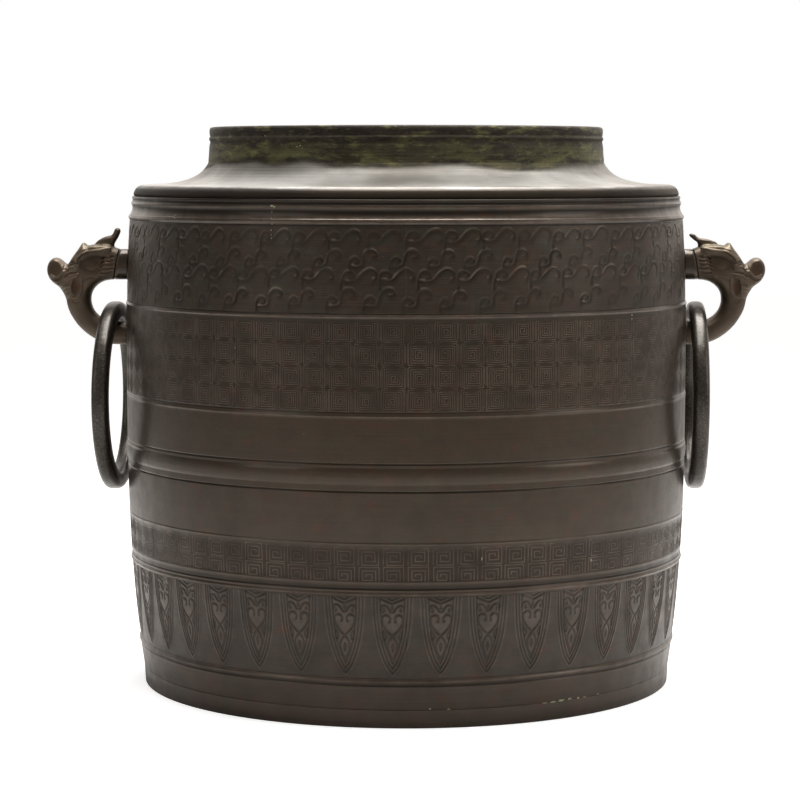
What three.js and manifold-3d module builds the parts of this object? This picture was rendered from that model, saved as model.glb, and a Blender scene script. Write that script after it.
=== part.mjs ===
// Twin-handled bronze pot with loose ring handles.
//
// A cast wall stands on a foot ring, a disc closes the bottom, and a hollow-swept shoulder lies on
// the wall and carries the neck collar. On each side a beast-head loop handle is riveted through
// the wall, and a loose ring hangs through the loop and rests on its lower arm.
//
// Millimetres, +Z up. The origin is the middle of the face that the pot stands on. The handles
// lie along +X and -X, and the front of the pot faces -Y.
import * as THREE from 'three';
import { mergeVertices } from 'three/addons/utils/BufferGeometryUtils.js';
import Module from 'manifold-3d';

const wasm = await Module();
wasm.setup();

// Heights of the bands, stacked from the floor up
const footRingHeight = 9.2;
const footBandHeight = 14.4;
const leafBandHeight = 43.9;
const lowerFretHeight = 24.8;
const lowerPlainHeight = 25.8;
const torusHeight = 13.6;
const upperPlainHeight = 24.2;
const upperFretHeight = 47.4;
const cloudBandHeight = 45.7;
const shoulderMouldingHeight = 11.4;
const shoulderDropHeight = 5.6;
const shoulderRiseHeight = 12.5;
const neckHeight = 17.9;

// Widest radius, and how far each part of the profile draws in from the one before it
const bellyRadius = 150.1;
const footDrawIn = 8.1;
const shoulderDrawIn = 2;
const shoulderStep = 2.4;
const shoulderWidth = 40.3;
const lipSetBack = 0.8;

// Walls and seams of the round pieces
const wallThickness = 4;
const shoulderThickness = 4.6;
const neckWall = 3.8;
const seamGap = 0.3;

// How far the widest height lies under the ridge at the shoulder, and the fullness of the wall's
// curve over and under that height
const bellyDrop = 69;
const upperFullness = 2.6;
const lowerFullness = 3.3;

// The shoulder's sweep mixes a slow rise all the way in with a steep one at the neck root
const slowRise = 3;
const steepRise = 12;
const slowRiseShare = 0.6;

// Mouldings cast on the wall
const ridgeProud = 0.6;
const ridgeWidth = 2;
const grooveDepth = 0.7;
const grooveWidth = 1.4;
const bandSink = 0.4;
const torusProud = 0.6;
const shoulderCove = 1.8;
const edgeRounding = 1.2;
const shoulderSpigotWall = 3;
const shoulderSpigotDepth = 2;

// Neck collar
const lipBandHeight = 6.2;
const lipRounding = 1.3;
const neckBeadProud = 0.6;
const neckBeadWidth = 1.6;
const spigotWall = 2.8;
const spigotDepth = 6;

// Foot ring and base plate
const footUpstandWall = 3.6;
const footUpstandRise = 3;
const footFlangeWidth = 5.5;
const footFlangeThickness = 5;
const basePlateThickness = 3.4;

// Handle: its middle hangs under the ridge at the shoulder, and sizes along it are measured
// outward from the wall and up from its middle
const handleDrop = 45;
const armWidth = 15;
const armThickness = 12.4;
const armDrop = 17.8;
const loopCentre = 7;
const loopReach = 26.4;
const neckRise = 19.2;
const neckThickness = 16.4;
const headThickness = 19.4;
const headWidth = 17;
const muzzleReach = 32.5;
const muzzleThickness = 13;
const snoutReach = 37.9;
const snoutRise = 15.8;
const snoutRadius = 7;
const snoutFlatness = 0.74;
const snoutWidth = 17;
const snoutDish = 1.4;
const browRadius = 1.9;
const browSpread = 5.6;
const eyeRadius = 2.9;
const hornRadius = 2.1;
const hornRise = 8.2;
const chinRadius = 5.6;

// Sockets and rivets
const socketLength = 5.4;
const socketSlant = 0.18;
const socketWidth = 16;
const neckSquareness = 2.8;
const rivetRadius = 3.4;
const rivetHeadRadius = 7;
const rivetHeadHeight = 2.6;
const rivetGrip = 7;
const rivetClearance = 0.3;

// Loose rings
const ringOuterRadius = 50.6;
const ringDepth = 10;
const ringWidth = 8.8;
const ringCorner = 3.2;
const ringSeatGap = 0.8;
const rightRingStandOff = 6;
const leftRingStandOff = 6.9;
const rightRingTurn = -1.8;
const leftRingTurn = -4.3;

// Smoothness of the faceted surfaces
const roundSegments = 48;
const ringSegments = 40;
const sectionPoints = 12;
const smallSegments = 12;

// Radii of the round pieces
const footRadius = bellyRadius - footDrawIn;
const shoulderRadius = bellyRadius - shoulderDrawIn;
const shoulderEdgeRadius = shoulderRadius - shoulderStep;
const neckRadius = shoulderEdgeRadius - shoulderWidth;
const lipRadius = neckRadius - lipSetBack;

// Heights of the edges between the bands
const footSeam = footRingHeight;
const footRidge = footSeam + footBandHeight;
const leafRidge = footRidge + leafBandHeight;
const lowerFretTop = leafRidge + lowerFretHeight;
const torusBottom = lowerFretTop + lowerPlainHeight;
const torusTop = torusBottom + torusHeight;
const upperFretBottom = torusTop + upperPlainHeight;
const cloudBorder = upperFretBottom + upperFretHeight;
const cloudRidge = cloudBorder + cloudBandHeight;
const shoulderSeam = cloudRidge + shoulderMouldingHeight;
const shoulderEdge = shoulderSeam + shoulderDropHeight;
const neckRoot = shoulderEdge + shoulderRiseHeight;
const rimHeight = neckRoot + neckHeight;

// Widest height of the wall, middle height of the handles and heights of their two rivets
const bellyHeight = cloudRidge - bellyDrop;
const handleHeight = cloudRidge - handleDrop;
const upperRivetHeight = handleHeight + neckRise;
const lowerRivetHeight = handleHeight - armDrop;

// Finishes of the pieces
const brownBronze = () => bronze('#3c342d', 0.42);
const greenBronze = () => bronze('#45443a', 0.6);
const ringBronze = () => bronze('#383431', 0.34);
const oliveBronze = () => bronze('#403a2e', 0.48);
const hiddenBronze = () => bronze('#4a3c2c', 0.55);

function bronze(color, roughness) {
  return new THREE.MeshStandardMaterial({ color, roughness, metalness: 0.85 });
}

// Radius of the plain wall at a height: a full curve that swells from the foot to the belly and
// draws in again to the shoulder
function wallRadius(z) {
  const below = z < bellyHeight;
  const endRadius = below ? footRadius : shoulderRadius;
  const endHeight = below ? footSeam : cloudRidge;
  const fullness = below ? lowerFullness : upperFullness;
  const share = Math.min(1, (z - bellyHeight) / (endHeight - bellyHeight));
  return bellyRadius - (bellyRadius - endRadius) * Math.pow(share, fullness);
}

// Height of the hollow shoulder top at a radius, rising in a sweep to the neck root
function shoulderTop(radius) {
  const inward = (shoulderEdgeRadius - radius) / (shoulderEdgeRadius - neckRadius);
  const slow = slowRiseShare * Math.pow(inward, slowRise);
  const steep = (1 - slowRiseShare) * Math.pow(inward, steepRise);
  return shoulderEdge + shoulderRiseHeight * (slow + steep);
}

function point(radius, z) {
  return new THREE.Vector2(radius, z);
}

// A raised line round the wall
function ridge(z, proud = ridgeProud) {
  const radius = wallRadius(z);
  return [
    point(radius, z - ridgeWidth / 2),
    point(radius + proud, z),
    point(radius, z + ridgeWidth / 2),
  ];
}

// A cut line round the wall
function groove(z) {
  const radius = wallRadius(z);
  return [
    point(radius, z - grooveWidth / 2),
    point(radius - grooveDepth, z),
    point(radius, z + grooveWidth / 2),
  ];
}

// A point on the plain wall
function onWall(z) {
  return point(wallRadius(z), z);
}

// The ground of a pattern band, sunk under the wall between two heights
function sunkBand(from, to, steps) {
  const points = [];
  for (let i = 0; i <= steps; i += 1) {
    const z = from + (to - from) * i / steps;
    points.push(point(wallRadius(z) - bandSink, z));
  }
  return points;
}

// The half-round band between its two grooves
function torus() {
  const points = [];
  const steps = 5;
  const bottom = torusBottom + grooveWidth / 2;
  const top = torusTop - grooveWidth / 2;
  for (let i = 1; i < steps; i += 1) {
    const angle = Math.PI * i / steps;
    const z = (bottom + top) / 2 - Math.cos(angle) * (top - bottom) / 2;
    points.push(point(wallRadius(z) + torusProud * Math.sin(angle), z));
  }
  return points;
}

// The moulding over the cloud band: a cove and two fine lines under the shoulder seam
function shoulderMoulding() {
  const coveRadius = shoulderRadius - shoulderCove;
  const height = (share) => cloudRidge + shoulderMouldingHeight * share;
  return [
    point(coveRadius + ridgeProud, height(0.2)),
    point(coveRadius, height(0.4)),
    point(coveRadius, height(0.55)),
    point(coveRadius + ridgeProud, height(0.65)),
    point(coveRadius - ridgeProud / 2, height(0.77)),
    point(coveRadius + ridgeProud / 2, height(0.9)),
    point(shoulderEdgeRadius, shoulderSeam - seamGap),
  ];
}

// The rounded shoulder edge and the hollow sweep up to the neck root
function shoulderSweep() {
  const rounding = shoulderDropHeight;
  const roundedFrom = shoulderEdgeRadius - rounding;
  const points = [];
  for (const turn of [Math.PI / 8, Math.PI / 4, 3 * Math.PI / 8]) {
    const drop = rounding * (1 - Math.sin(turn));
    points.push(point(roundedFrom + rounding * Math.cos(turn), shoulderEdge - drop));
  }
  const steps = 7;
  for (let i = 0; i <= steps; i += 1) {
    const share = Math.pow(1 - i / steps, 1.7);
    const radius = neckRadius + (roundedFrom - neckRadius) * share;
    points.push(point(radius, shoulderTop(radius)));
  }
  return points;
}

// The outside of the wall from the foot seam to the seam under the shoulder edge
function wallOutside() {
  const bottom = footSeam + seamGap;
  const edge = ridgeWidth / 4;
  return [
    point(wallRadius(bottom) - edgeRounding / 2, bottom),
    onWall(bottom + edgeRounding),
    ...ridge(footRidge),
    onWall(footRidge + leafBandHeight * 0.35),
    onWall(footRidge + leafBandHeight * 0.7),
    ...ridge(leafRidge),
    ...sunkBand(leafRidge + ridgeWidth, lowerFretTop - edge, 1),
    onWall(lowerFretTop + edge),
    ...groove(torusBottom),
    ...torus(),
    ...groove(torusTop),
    onWall(upperFretBottom - edge),
    ...sunkBand(upperFretBottom + edge, cloudBorder - ridgeWidth, 1),
    ...ridge(cloudBorder, ridgeProud / 2),
    ...sunkBand(cloudBorder + ridgeWidth, cloudRidge - ridgeWidth, 2),
    ...ridge(cloudRidge),
    ...shoulderMoulding(),
  ];
}

// The inside of the wall, from its top edge down to the foot
function wallInside() {
  const points = [point(shoulderEdgeRadius - wallThickness, shoulderSeam - seamGap)];
  const heights = [
    cloudRidge,
    upperRivetHeight + rivetHeadRadius,
    upperRivetHeight - rivetHeadRadius,
    lowerRivetHeight + rivetHeadRadius,
    lowerRivetHeight - rivetHeadRadius,
    torusTop,
    lowerFretTop,
    (leafRidge + footRidge) / 2,
    footSeam + seamGap,
  ].sort((a, b) => b - a);
  for (const z of heights) {
    points.push(point(wallRadius(z) - wallThickness, z));
  }
  return points;
}

// A closed list of radius and height points turned round +Z
function revolve(points, segments = roundSegments) {
  return new THREE.LatheGeometry(points, segments).rotateX(Math.PI / 2);
}

// The same for a section that doesn't touch the axis: it closes on its first point
function revolveRing(points, segments = roundSegments) {
  return revolve([...points, points[0]], segments);
}

// A solid that can be cut and joined, from a closed geometry
function solid(geometry) {
  const bare = geometry.clone();
  bare.deleteAttribute('normal');
  bare.deleteAttribute('uv');
  const welded = mergeVertices(bare, 1e-4);
  const corners = welded.index.array;
  const triangles = [];
  for (let i = 0; i < corners.length; i += 3) {
    const [a, b, c] = [corners[i], corners[i + 1], corners[i + 2]];
    if (a !== b && b !== c && c !== a) {
      triangles.push(a, b, c);
    }
  }
  return new wasm.Manifold(new wasm.Mesh({
    numProp: 3,
    vertProperties: new Float32Array(welded.attributes.position.array),
    triVerts: new Uint32Array(triangles),
  }));
}

// A named mesh from a solid
function mesh(name, body, material) {
  const data = body.getMesh();
  const geometry = new THREE.BufferGeometry();
  geometry.setAttribute('position', new THREE.BufferAttribute(data.vertProperties, 3));
  geometry.setIndex(new THREE.BufferAttribute(data.triVerts, 1));
  geometry.computeVertexNormals();
  const made = new THREE.Mesh(geometry, material);
  made.name = name;
  return made;
}

// A closed skin over a row of rings with equal numbers of points, capped flat at both ends
function loft(rings) {
  const count = rings[0].length;
  const positions = rings.flat().flatMap((p) => [p.x, p.y, p.z]);
  const index = [];
  for (let row = 0; row + 1 < rings.length; row += 1) {
    for (let i = 0; i < count; i += 1) {
      const a = row * count + i;
      const b = row * count + (i + 1) % count;
      index.push(a, b, b + count, a, b + count, a + count);
    }
  }
  const last = (rings.length - 1) * count;
  for (let i = 1; i + 1 < count; i += 1) {
    index.push(0, i + 1, i, last, last + i, last + i + 1);
  }
  const geometry = new THREE.BufferGeometry();
  geometry.setAttribute('position', new THREE.Float32BufferAttribute(positions, 3));
  geometry.setIndex(index);
  return geometry;
}

// One ring of a loft: a rounded oblong round a centre, square to a direction in the XZ plane
function section(centre, direction, thickness, width, squareness, count = sectionPoints) {
  const across = new THREE.Vector3(direction.z, 0, -direction.x);
  const ring = [];
  for (let i = 0; i < count; i += 1) {
    const angle = 2 * Math.PI * i / count;
    const shape = (value) => Math.sign(value) * Math.pow(Math.abs(value), 2 / squareness);
    const place = centre.clone().addScaledVector(across, shape(Math.cos(angle)) * thickness / 2);
    place.y += shape(Math.sin(angle)) * width / 2;
    ring.push(place);
  }
  return ring;
}

// The rings of a limb along stations, each with a place, a thickness and a width
function limbRings(stations, steps, squareness, count = sectionPoints) {
  const at = (station) => new THREE.Vector3(station.out, station.side ?? 0, station.up);
  const path = new THREE.CatmullRomCurve3(stations.map(at), false, 'centripetal');
  const sizes = new THREE.CatmullRomCurve3(
    stations.map((station) => new THREE.Vector3(station.thickness, station.width, 0)),
    false,
    'centripetal',
  );
  const rings = [];
  for (let i = 0; i <= steps; i += 1) {
    const share = i / steps;
    const direction = path.getTangent(share).setY(0).normalize();
    const size = sizes.getPoint(share);
    rings.push(section(path.getPoint(share), direction, size.x, size.y, squareness, count));
  }
  return rings;
}

function limb(stations, steps, squareness, count) {
  return loft(limbRings(stations, steps, squareness, count));
}

// The wall's outside grown by a gap and filled to the axis, to cut what is seated against it
function wallEnvelope(gap) {
  const grown = wallOutside().map((p) => point(p.x + gap, p.y));
  const top = grown[grown.length - 1].y;
  return solid(revolve([point(0, grown[0].y), ...grown, point(0, top)]));
}

// A pin along +X with its middle line at a height, to cut bores
function bore(height, from, to) {
  const radius = rivetRadius + rivetClearance;
  return solid(new THREE.CylinderGeometry(radius, radius, to - from, smallSegments)
    .rotateZ(-Math.PI / 2)
    .translate((from + to) / 2, 0, height));
}

// Where the handle meets the wall, and where the joint behind the head lies, from the axis
const handleSeat = wallRadius(handleHeight);
const jointPlace = handleSeat + socketLength;

// Cast wall, bored for the four rivets
function vesselWall() {
  let body = solid(revolveRing([...wallOutside(), ...wallInside()]));
  const reach = handleSeat + wallThickness;
  for (const height of [upperRivetHeight, lowerRivetHeight]) {
    const pin = bore(height, shoulderEdgeRadius - 2 * wallThickness, reach);
    body = body.subtract(pin).subtract(pin.rotate([0, 0, 180]));
  }
  return body;
}

// Shoulder: it lies on the wall's top edge, drops a low spigot inside it and sweeps up to the neck
function shoulder() {
  const opening = neckRadius - neckWall;
  const openingFoot = neckRoot - spigotDepth - 2 * seamGap;
  const spigot = shoulderEdgeRadius - wallThickness - seamGap;
  const spigotInside = spigot - shoulderSpigotWall;
  const underside = [0.25, 0.65, 1].map((share) => {
    const radius = opening + (spigotInside - opening) * share;
    return point(radius, Math.min(openingFoot, shoulderTop(radius) - shoulderThickness));
  });
  return solid(revolveRing([
    point(shoulderEdgeRadius, shoulderSeam),
    ...shoulderSweep(),
    point(opening, neckRoot),
    point(opening, openingFoot),
    ...underside,
    point(spigotInside, shoulderSeam - shoulderSpigotDepth),
    point(spigot, shoulderSeam - shoulderSpigotDepth),
    point(spigot, shoulderSeam),
  ]));
}

// Upright neck: lip, fine bead, plain band, and a spigot that drops into the shoulder opening
function neckCollar() {
  const inside = neckRadius - neckWall - seamGap - spigotWall;
  const spigot = neckRadius - neckWall - seamGap;
  const foot = neckRoot + seamGap;
  const bead = rimHeight - lipBandHeight;
  return solid(revolveRing([
    point(spigot, foot - spigotDepth),
    point(spigot, foot),
    point(neckRadius, foot),
    point(neckRadius, bead - neckBeadWidth / 2),
    point(neckRadius + neckBeadProud, bead - neckBeadWidth / 6),
    point(neckRadius + neckBeadProud, bead + neckBeadWidth / 6),
    point(lipRadius - neckBeadProud, bead + neckBeadWidth / 2),
    point(lipRadius, rimHeight - lipRounding),
    point(lipRadius - lipRounding * 0.3, rimHeight - lipRounding * 0.3),
    point(lipRadius - lipRounding, rimHeight),
    point(inside + lipRounding, rimHeight),
    point(inside, rimHeight - lipRounding),
    point(inside, foot - spigotDepth),
  ]));
}

// Foot: a flange to stand on, a rabbet for the base plate and an upstand inside the wall
function footRing() {
  const upstandOutside = footRadius - wallThickness - seamGap;
  const upstandInside = upstandOutside - footUpstandWall;
  const flangeInside = upstandInside - footFlangeWidth;
  return solid(revolveRing([
    point(footRadius - edgeRounding / 2, 0),
    point(footRadius, edgeRounding / 2),
    point(footRadius, footSeam - edgeRounding / 2),
    point(footRadius - edgeRounding / 2, footSeam),
    point(upstandOutside, footSeam),
    point(upstandOutside, footSeam + footUpstandRise),
    point(upstandInside, footSeam + footUpstandRise),
    point(upstandInside, footFlangeThickness),
    point(flangeInside, footFlangeThickness),
    point(flangeInside, 0),
  ]));
}

// Disc that closes the bottom, lying on the flange of the foot
function basePlate() {
  const radius = footRadius - wallThickness - footUpstandWall - 2 * seamGap;
  const bottom = footFlangeThickness + seamGap;
  return solid(revolve([
    point(0, bottom),
    point(radius, bottom),
    point(radius, bottom + basePlateThickness),
    point(0, bottom + basePlateThickness),
  ]));
}

// Places along the loop: an oval swing from the arm at the wall up to the neck behind the head
function loopPlace(angle) {
  const rise = angle < 0 ? armDrop : neckRise;
  return {
    out: loopCentre + (loopReach - loopCentre) * Math.cos(angle),
    up: rise * Math.sin(angle),
  };
}

// The loop arm from inside the wall line round to the head
function loopArm() {
  const quarter = Math.PI / 2;
  const swing = [-1, -0.66, -0.33, 0, 0.3, 0.6];
  return limb([
    { out: -wallThickness, up: -armDrop, thickness: armThickness * 1.08, width: armWidth * 1.1 },
    ...swing.map((share) => ({
      ...loopPlace(share * quarter),
      thickness: armThickness,
      width: armWidth,
    })),
  ], 12, 2.5);
}

// The neck's outline at the wall or in the slanted joint plane behind the head
function neckOutline(out, slant) {
  const centre = new THREE.Vector3(out, 0, neckRise);
  const ahead = new THREE.Vector3(1, 0, 0);
  return section(centre, ahead, neckThickness, socketWidth, neckSquareness)
    .map((p) => p.setX(p.x - slant * (p.z - neckRise)));
}

// Neck and head from the joint to the muzzle
function headBlock() {
  const crown = (headThickness - neckThickness) / 2;
  const stations = [
    { out: socketLength + seamGap, up: neckRise, thickness: neckThickness, width: socketWidth },
    { out: 11, up: neckRise + crown / 2, thickness: headThickness - crown, width: socketWidth },
    { out: 17, up: neckRise + crown / 3, thickness: headThickness, width: headWidth },
    { out: 24, up: neckRise - crown, thickness: headThickness, width: headWidth },
    {
      out: muzzleReach - 3.5,
      up: snoutRise - 1.2,
      thickness: muzzleThickness * 1.25,
      width: headWidth * 0.85,
    },
    {
      out: muzzleReach + 1.5,
      up: snoutRise - 3.2,
      thickness: muzzleThickness * 0.85,
      width: headWidth * 0.75,
    },
  ];
  const rings = limbRings(stations, 10, neckSquareness);
  rings[0] = neckOutline(socketLength + seamGap, socketSlant);
  return loft(rings);
}

// The upturned snout: a roll lying across the head, dished at both ends
function snoutRoll() {
  const half = snoutWidth / 2;
  const roll = revolve([
    point(0, snoutDish - half),
    point(snoutRadius * 0.45, snoutDish - half),
    point(snoutRadius * 0.8, -half),
    point(snoutRadius, -half * 0.5),
    point(snoutRadius, half * 0.5),
    point(snoutRadius * 0.8, half),
    point(snoutRadius * 0.45, half - snoutDish),
    point(0, half - snoutDish),
  ], smallSegments);
  return roll
    .rotateX(Math.PI / 2)
    .scale(snoutFlatness, 1, 1)
    .translate(snoutReach, 0, snoutRise);
}

// A brow ridge: it starts behind the horn, swells over the eye and curls down to the muzzle
function brow(side) {
  const top = neckRise + headThickness / 2;
  const at = (out, up, share) => ({
    out,
    up,
    side: side * browSpread,
    thickness: 2 * browRadius * share,
    width: 2 * browRadius * share * 1.3,
  });
  return limb([
    at(10, top - 3.6, 0.5),
    at(17, top - 2.4, 0.8),
    at(23, top - 0.5, 1),
    at(26.6, top - 4.2, 1),
    at(29.6, top - 9, 0.6),
  ], 6, 2, 7);
}

// The single horn: it lies along the crown, then hooks up at the wall side
function horn() {
  const crown = neckRise + headThickness / 2;
  const at = (out, up, share) => ({
    out,
    up,
    thickness: 2 * hornRadius * share,
    width: 2 * hornRadius * share,
  });
  return limb([
    at(17, crown - 0.4, 0.4),
    at(12.6, crown + 1.4, 0.9),
    at(8.4, crown + 2, 1),
    at(5.9, crown + hornRise * 0.6, 0.8),
    at(5, crown + hornRise, 0.65),
  ], 8, 2, 8);
}

// An eye bulging from the side of the head
function eye(side) {
  return new THREE.SphereGeometry(eyeRadius, 8, 6)
    .scale(1.25, 0.6, 0.9)
    .translate(19, side * headWidth * 0.46, neckRise - 0.6);
}

// The chin under the snout
function chin() {
  return new THREE.SphereGeometry(chinRadius, 10, 6)
    .scale(1, 1.3, 1)
    .translate(muzzleReach - 2.6, 0, snoutRise - snoutRadius - 1.8);
}

// A beast-head loop handle, seated on the wall and on its socket, bored for both rivets
function handle() {
  const parts = [headBlock(), snoutRoll(), brow(1), brow(-1), horn(), eye(1), eye(-1), chin()];
  let body = solid(loopArm());
  for (const part of parts) {
    body = body.add(solid(part));
  }
  body = body.translate([handleSeat, 0, handleHeight]).subtract(wallEnvelope(seamGap));
  for (const [height, seat] of [[upperRivetHeight, jointPlace], [lowerRivetHeight, handleSeat]]) {
    const end = seat + rivetGrip + rivetClearance;
    body = body.subtract(bore(height, handleSeat - wallThickness, end));
  }
  return body;
}

// The plain stub between the wall and the joint behind the head
function socket() {
  const outlines = [neckOutline(-wallThickness, 0), neckOutline(socketLength, socketSlant)];
  return solid(loft(outlines))
    .translate([handleSeat, 0, handleHeight])
    .subtract(wallEnvelope(seamGap))
    .subtract(bore(upperRivetHeight, handleSeat - 2 * wallThickness, jointPlace + wallThickness));
}

// A rivet: its domed head lies on the inside of the wall, its shank ends inside the handle
function rivet(height, end) {
  const narrowest = Math.min(
    wallRadius(height + rivetHeadRadius),
    wallRadius(height - rivetHeadRadius),
  );
  const facetFall = rivetHeadRadius * Math.tan(Math.PI / roundSegments);
  const seat = narrowest - wallThickness - facetFall - seamGap;
  return solid(revolve([
    point(0, -rivetHeadHeight),
    point(rivetHeadRadius * 0.6, -rivetHeadHeight * 0.8),
    point(rivetHeadRadius * 0.92, -rivetHeadHeight * 0.35),
    point(rivetHeadRadius, 0),
    point(rivetRadius, 0),
    point(rivetRadius, end - seat),
    point(0, end - seat),
  ], smallSegments).rotateY(Math.PI / 2).translate(seat, 0, height));
}

// A loose ring of rounded square section, in a plane square to X, round its own centre
function looseRing() {
  const middle = ringOuterRadius - ringDepth / 2;
  const points = [];
  const corners = [[1, -1, -90], [1, 1, 0], [-1, 1, 90], [-1, -1, 180]];
  for (const [sideR, sideX, start] of corners) {
    for (const turn of [0, 45, 90]) {
      const angle = THREE.MathUtils.degToRad(start + turn);
      const r = middle + sideR * (ringDepth / 2 - ringCorner) + ringCorner * Math.cos(angle);
      const x = sideX * (ringWidth / 2 - ringCorner) + ringCorner * Math.sin(angle);
      points.push(point(r, x));
    }
  }
  return solid(revolveRing(points, ringSegments).rotateY(Math.PI / 2));
}

// Height of the ring's swing axis: the middle of its section where it rests on the arm
const swingHeight = handleHeight - armDrop + armThickness / 2 + ringSeatGap + ringDepth / 2;

// One side of the pot: socket, handle, rivets and ring, turned to +X or -X. The ring rests on the
// arm at its own distance from the wall, turned a little to one side.
function side(name, turn, ringStandOff, ringTurn) {
  const group = new THREE.Group();
  group.rotation.z = turn;
  const upperEnd = jointPlace + rivetGrip;
  const lowerEnd = handleSeat + rivetGrip;
  group.add(mesh(`${name}_handle`, handle(), oliveBronze()));
  group.add(mesh(`${name}_socket`, socket(), brownBronze()));
  group.add(mesh(`${name}_upper_rivet`, rivet(upperRivetHeight, upperEnd), hiddenBronze()));
  group.add(mesh(`${name}_lower_rivet`, rivet(lowerRivetHeight, lowerEnd), hiddenBronze()));
  const ring = mesh(`${name}_ring`, looseRing(), ringBronze());
  ring.rotation.z = THREE.MathUtils.degToRad(ringTurn);
  ring.position.set(
    handleSeat + ringStandOff,
    0,
    swingHeight - ringOuterRadius + ringDepth / 2,
  );
  group.add(ring);
  return group;
}

const pot = new THREE.Group();
pot.add(mesh('vessel_wall', vesselWall(), brownBronze()));
pot.add(mesh('shoulder', shoulder(), brownBronze()));
pot.add(mesh('neck_collar', neckCollar(), greenBronze()));
pot.add(mesh('foot_ring', footRing(), brownBronze()));
pot.add(mesh('base_plate', basePlate(), hiddenBronze()));
pot.add(side('right', 0, rightRingStandOff, rightRingTurn));
pot.add(side('left', Math.PI, leftRingStandOff, leftRingTurn));

export default pot;
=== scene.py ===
# %% [markdown]
# # A cast-bronze pot with beast-head handles
# We dress a finished frame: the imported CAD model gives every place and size, and this file adds
# fine surfaces and finishes. Sizes here are written in millimetres, as a founder would give them,
# and turned into Blender's metres in one place.

# %% Open the frame
import math
import random

import bmesh
import bpy
import numpy as np
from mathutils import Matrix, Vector


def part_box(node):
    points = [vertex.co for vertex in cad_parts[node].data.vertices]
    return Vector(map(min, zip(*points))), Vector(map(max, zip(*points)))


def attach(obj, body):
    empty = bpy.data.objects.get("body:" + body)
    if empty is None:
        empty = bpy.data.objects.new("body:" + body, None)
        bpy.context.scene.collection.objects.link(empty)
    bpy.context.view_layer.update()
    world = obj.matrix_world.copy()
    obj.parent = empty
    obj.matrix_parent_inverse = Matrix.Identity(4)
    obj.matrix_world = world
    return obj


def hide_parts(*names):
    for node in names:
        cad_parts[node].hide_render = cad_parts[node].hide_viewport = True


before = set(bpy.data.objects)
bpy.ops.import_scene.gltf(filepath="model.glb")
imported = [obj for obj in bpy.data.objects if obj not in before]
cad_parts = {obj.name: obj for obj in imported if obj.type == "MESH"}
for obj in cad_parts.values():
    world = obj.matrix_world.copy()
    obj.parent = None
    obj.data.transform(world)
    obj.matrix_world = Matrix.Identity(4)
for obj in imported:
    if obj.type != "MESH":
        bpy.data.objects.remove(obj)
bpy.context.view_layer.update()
MM = 0.001

# %% [markdown]
# ## Two ways to make a surface
# Nearly every part of this pot is either turned round its axis or follows it. So one helper makes
# a mesh from points and four-sided faces, and a second one turns a closed outline round the axis.
# Building from arrays keeps big, finely sampled surfaces quick.

# %% Mesh helpers
def put(name, data):
    """A new object in the scene."""
    made = bpy.data.objects.new(name, data)
    bpy.context.scene.collection.objects.link(made)
    return made


def surface(name, points, quads, relief=None):
    """A smooth-shaded mesh object from millimetre points and four-cornered faces."""
    mesh = bpy.data.meshes.new(name)
    points = np.asarray(points, np.float32)
    quads = np.asarray(quads, np.int32)
    mesh.vertices.add(len(points))
    mesh.vertices.foreach_set("co", (points * MM).ravel())
    mesh.loops.add(quads.size)
    mesh.loops.foreach_set("vertex_index", quads.ravel())
    mesh.polygons.add(len(quads))
    mesh.polygons.foreach_set("loop_start", np.arange(0, quads.size, 4, dtype=np.int32))
    mesh.update(calc_edges=True)
    mesh.shade_smooth()
    if relief is not None:
        add_values(mesh, "relief", relief)
    return put(name, mesh)


def add_values(mesh, name, values):
    """Stores one number per point, for the finish to read."""
    stored = mesh.attributes.new(name, "FLOAT", "POINT")
    stored.data.foreach_set("value", np.asarray(values, np.float32).ravel())


def grid_faces(rows, columns, close_rows=False, close_columns=True):
    """Corner numbers for a grid of points stored row after row."""
    row = np.arange(rows if close_rows else rows - 1)
    column = np.arange(columns if close_columns else columns - 1)
    here, there = np.meshgrid(row, column, indexing="ij")
    up = (here + 1) % rows
    on = (there + 1) % columns
    corners = [(here, there), (here, on), (up, on), (up, there)]
    return np.stack([(r * columns + c).ravel() for r, c in corners], axis=1)


def weld(piece):
    """Joins points that lie on each other and turns all faces outwards."""
    work = bmesh.new()
    work.from_mesh(piece.data)
    bmesh.ops.remove_doubles(work, verts=work.verts, dist=0.0005 * MM)
    bmesh.ops.recalc_face_normals(work, faces=work.faces)
    work.to_mesh(piece.data)
    work.free()
    piece.data.shade_smooth()

# %% Turning round the pot's axis
def place(radius, azimuth, height):
    """Points round the axis: azimuth 0 is the front, which faces -Y, and +90 degrees is +X."""
    return np.stack([radius * np.sin(azimuth), -radius * np.cos(azimuth), height], axis=-1)


def lathe_grid(outline, steps):
    """Radius, turn and place along the axis of every point of a turned outline."""
    outline = np.asarray(outline, float)
    turn = np.arange(steps) * 2 * math.pi / steps
    radius, turn = np.meshgrid(outline[:, 0], turn, indexing="ij")
    return radius, turn, np.repeat(outline[:, 1:2], steps, axis=1)


def turned(name, outline, steps=288, relief=None):
    """A solid of revolution from a closed outline of (radius, height), told anticlockwise."""
    radius, turn, height = lathe_grid(outline, steps)
    if relief is not None:
        relief = np.repeat(np.asarray(relief, float)[:, None], steps, axis=1)
    points = place(radius, turn, height).reshape(-1, 3)
    made = surface(name, points, grid_faces(len(outline), steps, close_rows=True), relief)
    weld(made)
    made.data.set_sharp_from_angle(angle=math.radians(50))
    print(name, len(made.data.polygons), "faces")
    return made

# %% [markdown]
# ## The pot's profile
# The wall is a full, slow curve, widest well above the middle. On it sit cast lines and cut lines.
# Writing the profile as one function of height, with each line added to it, keeps the mouldings
# true to the wall wherever the curve goes.

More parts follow.
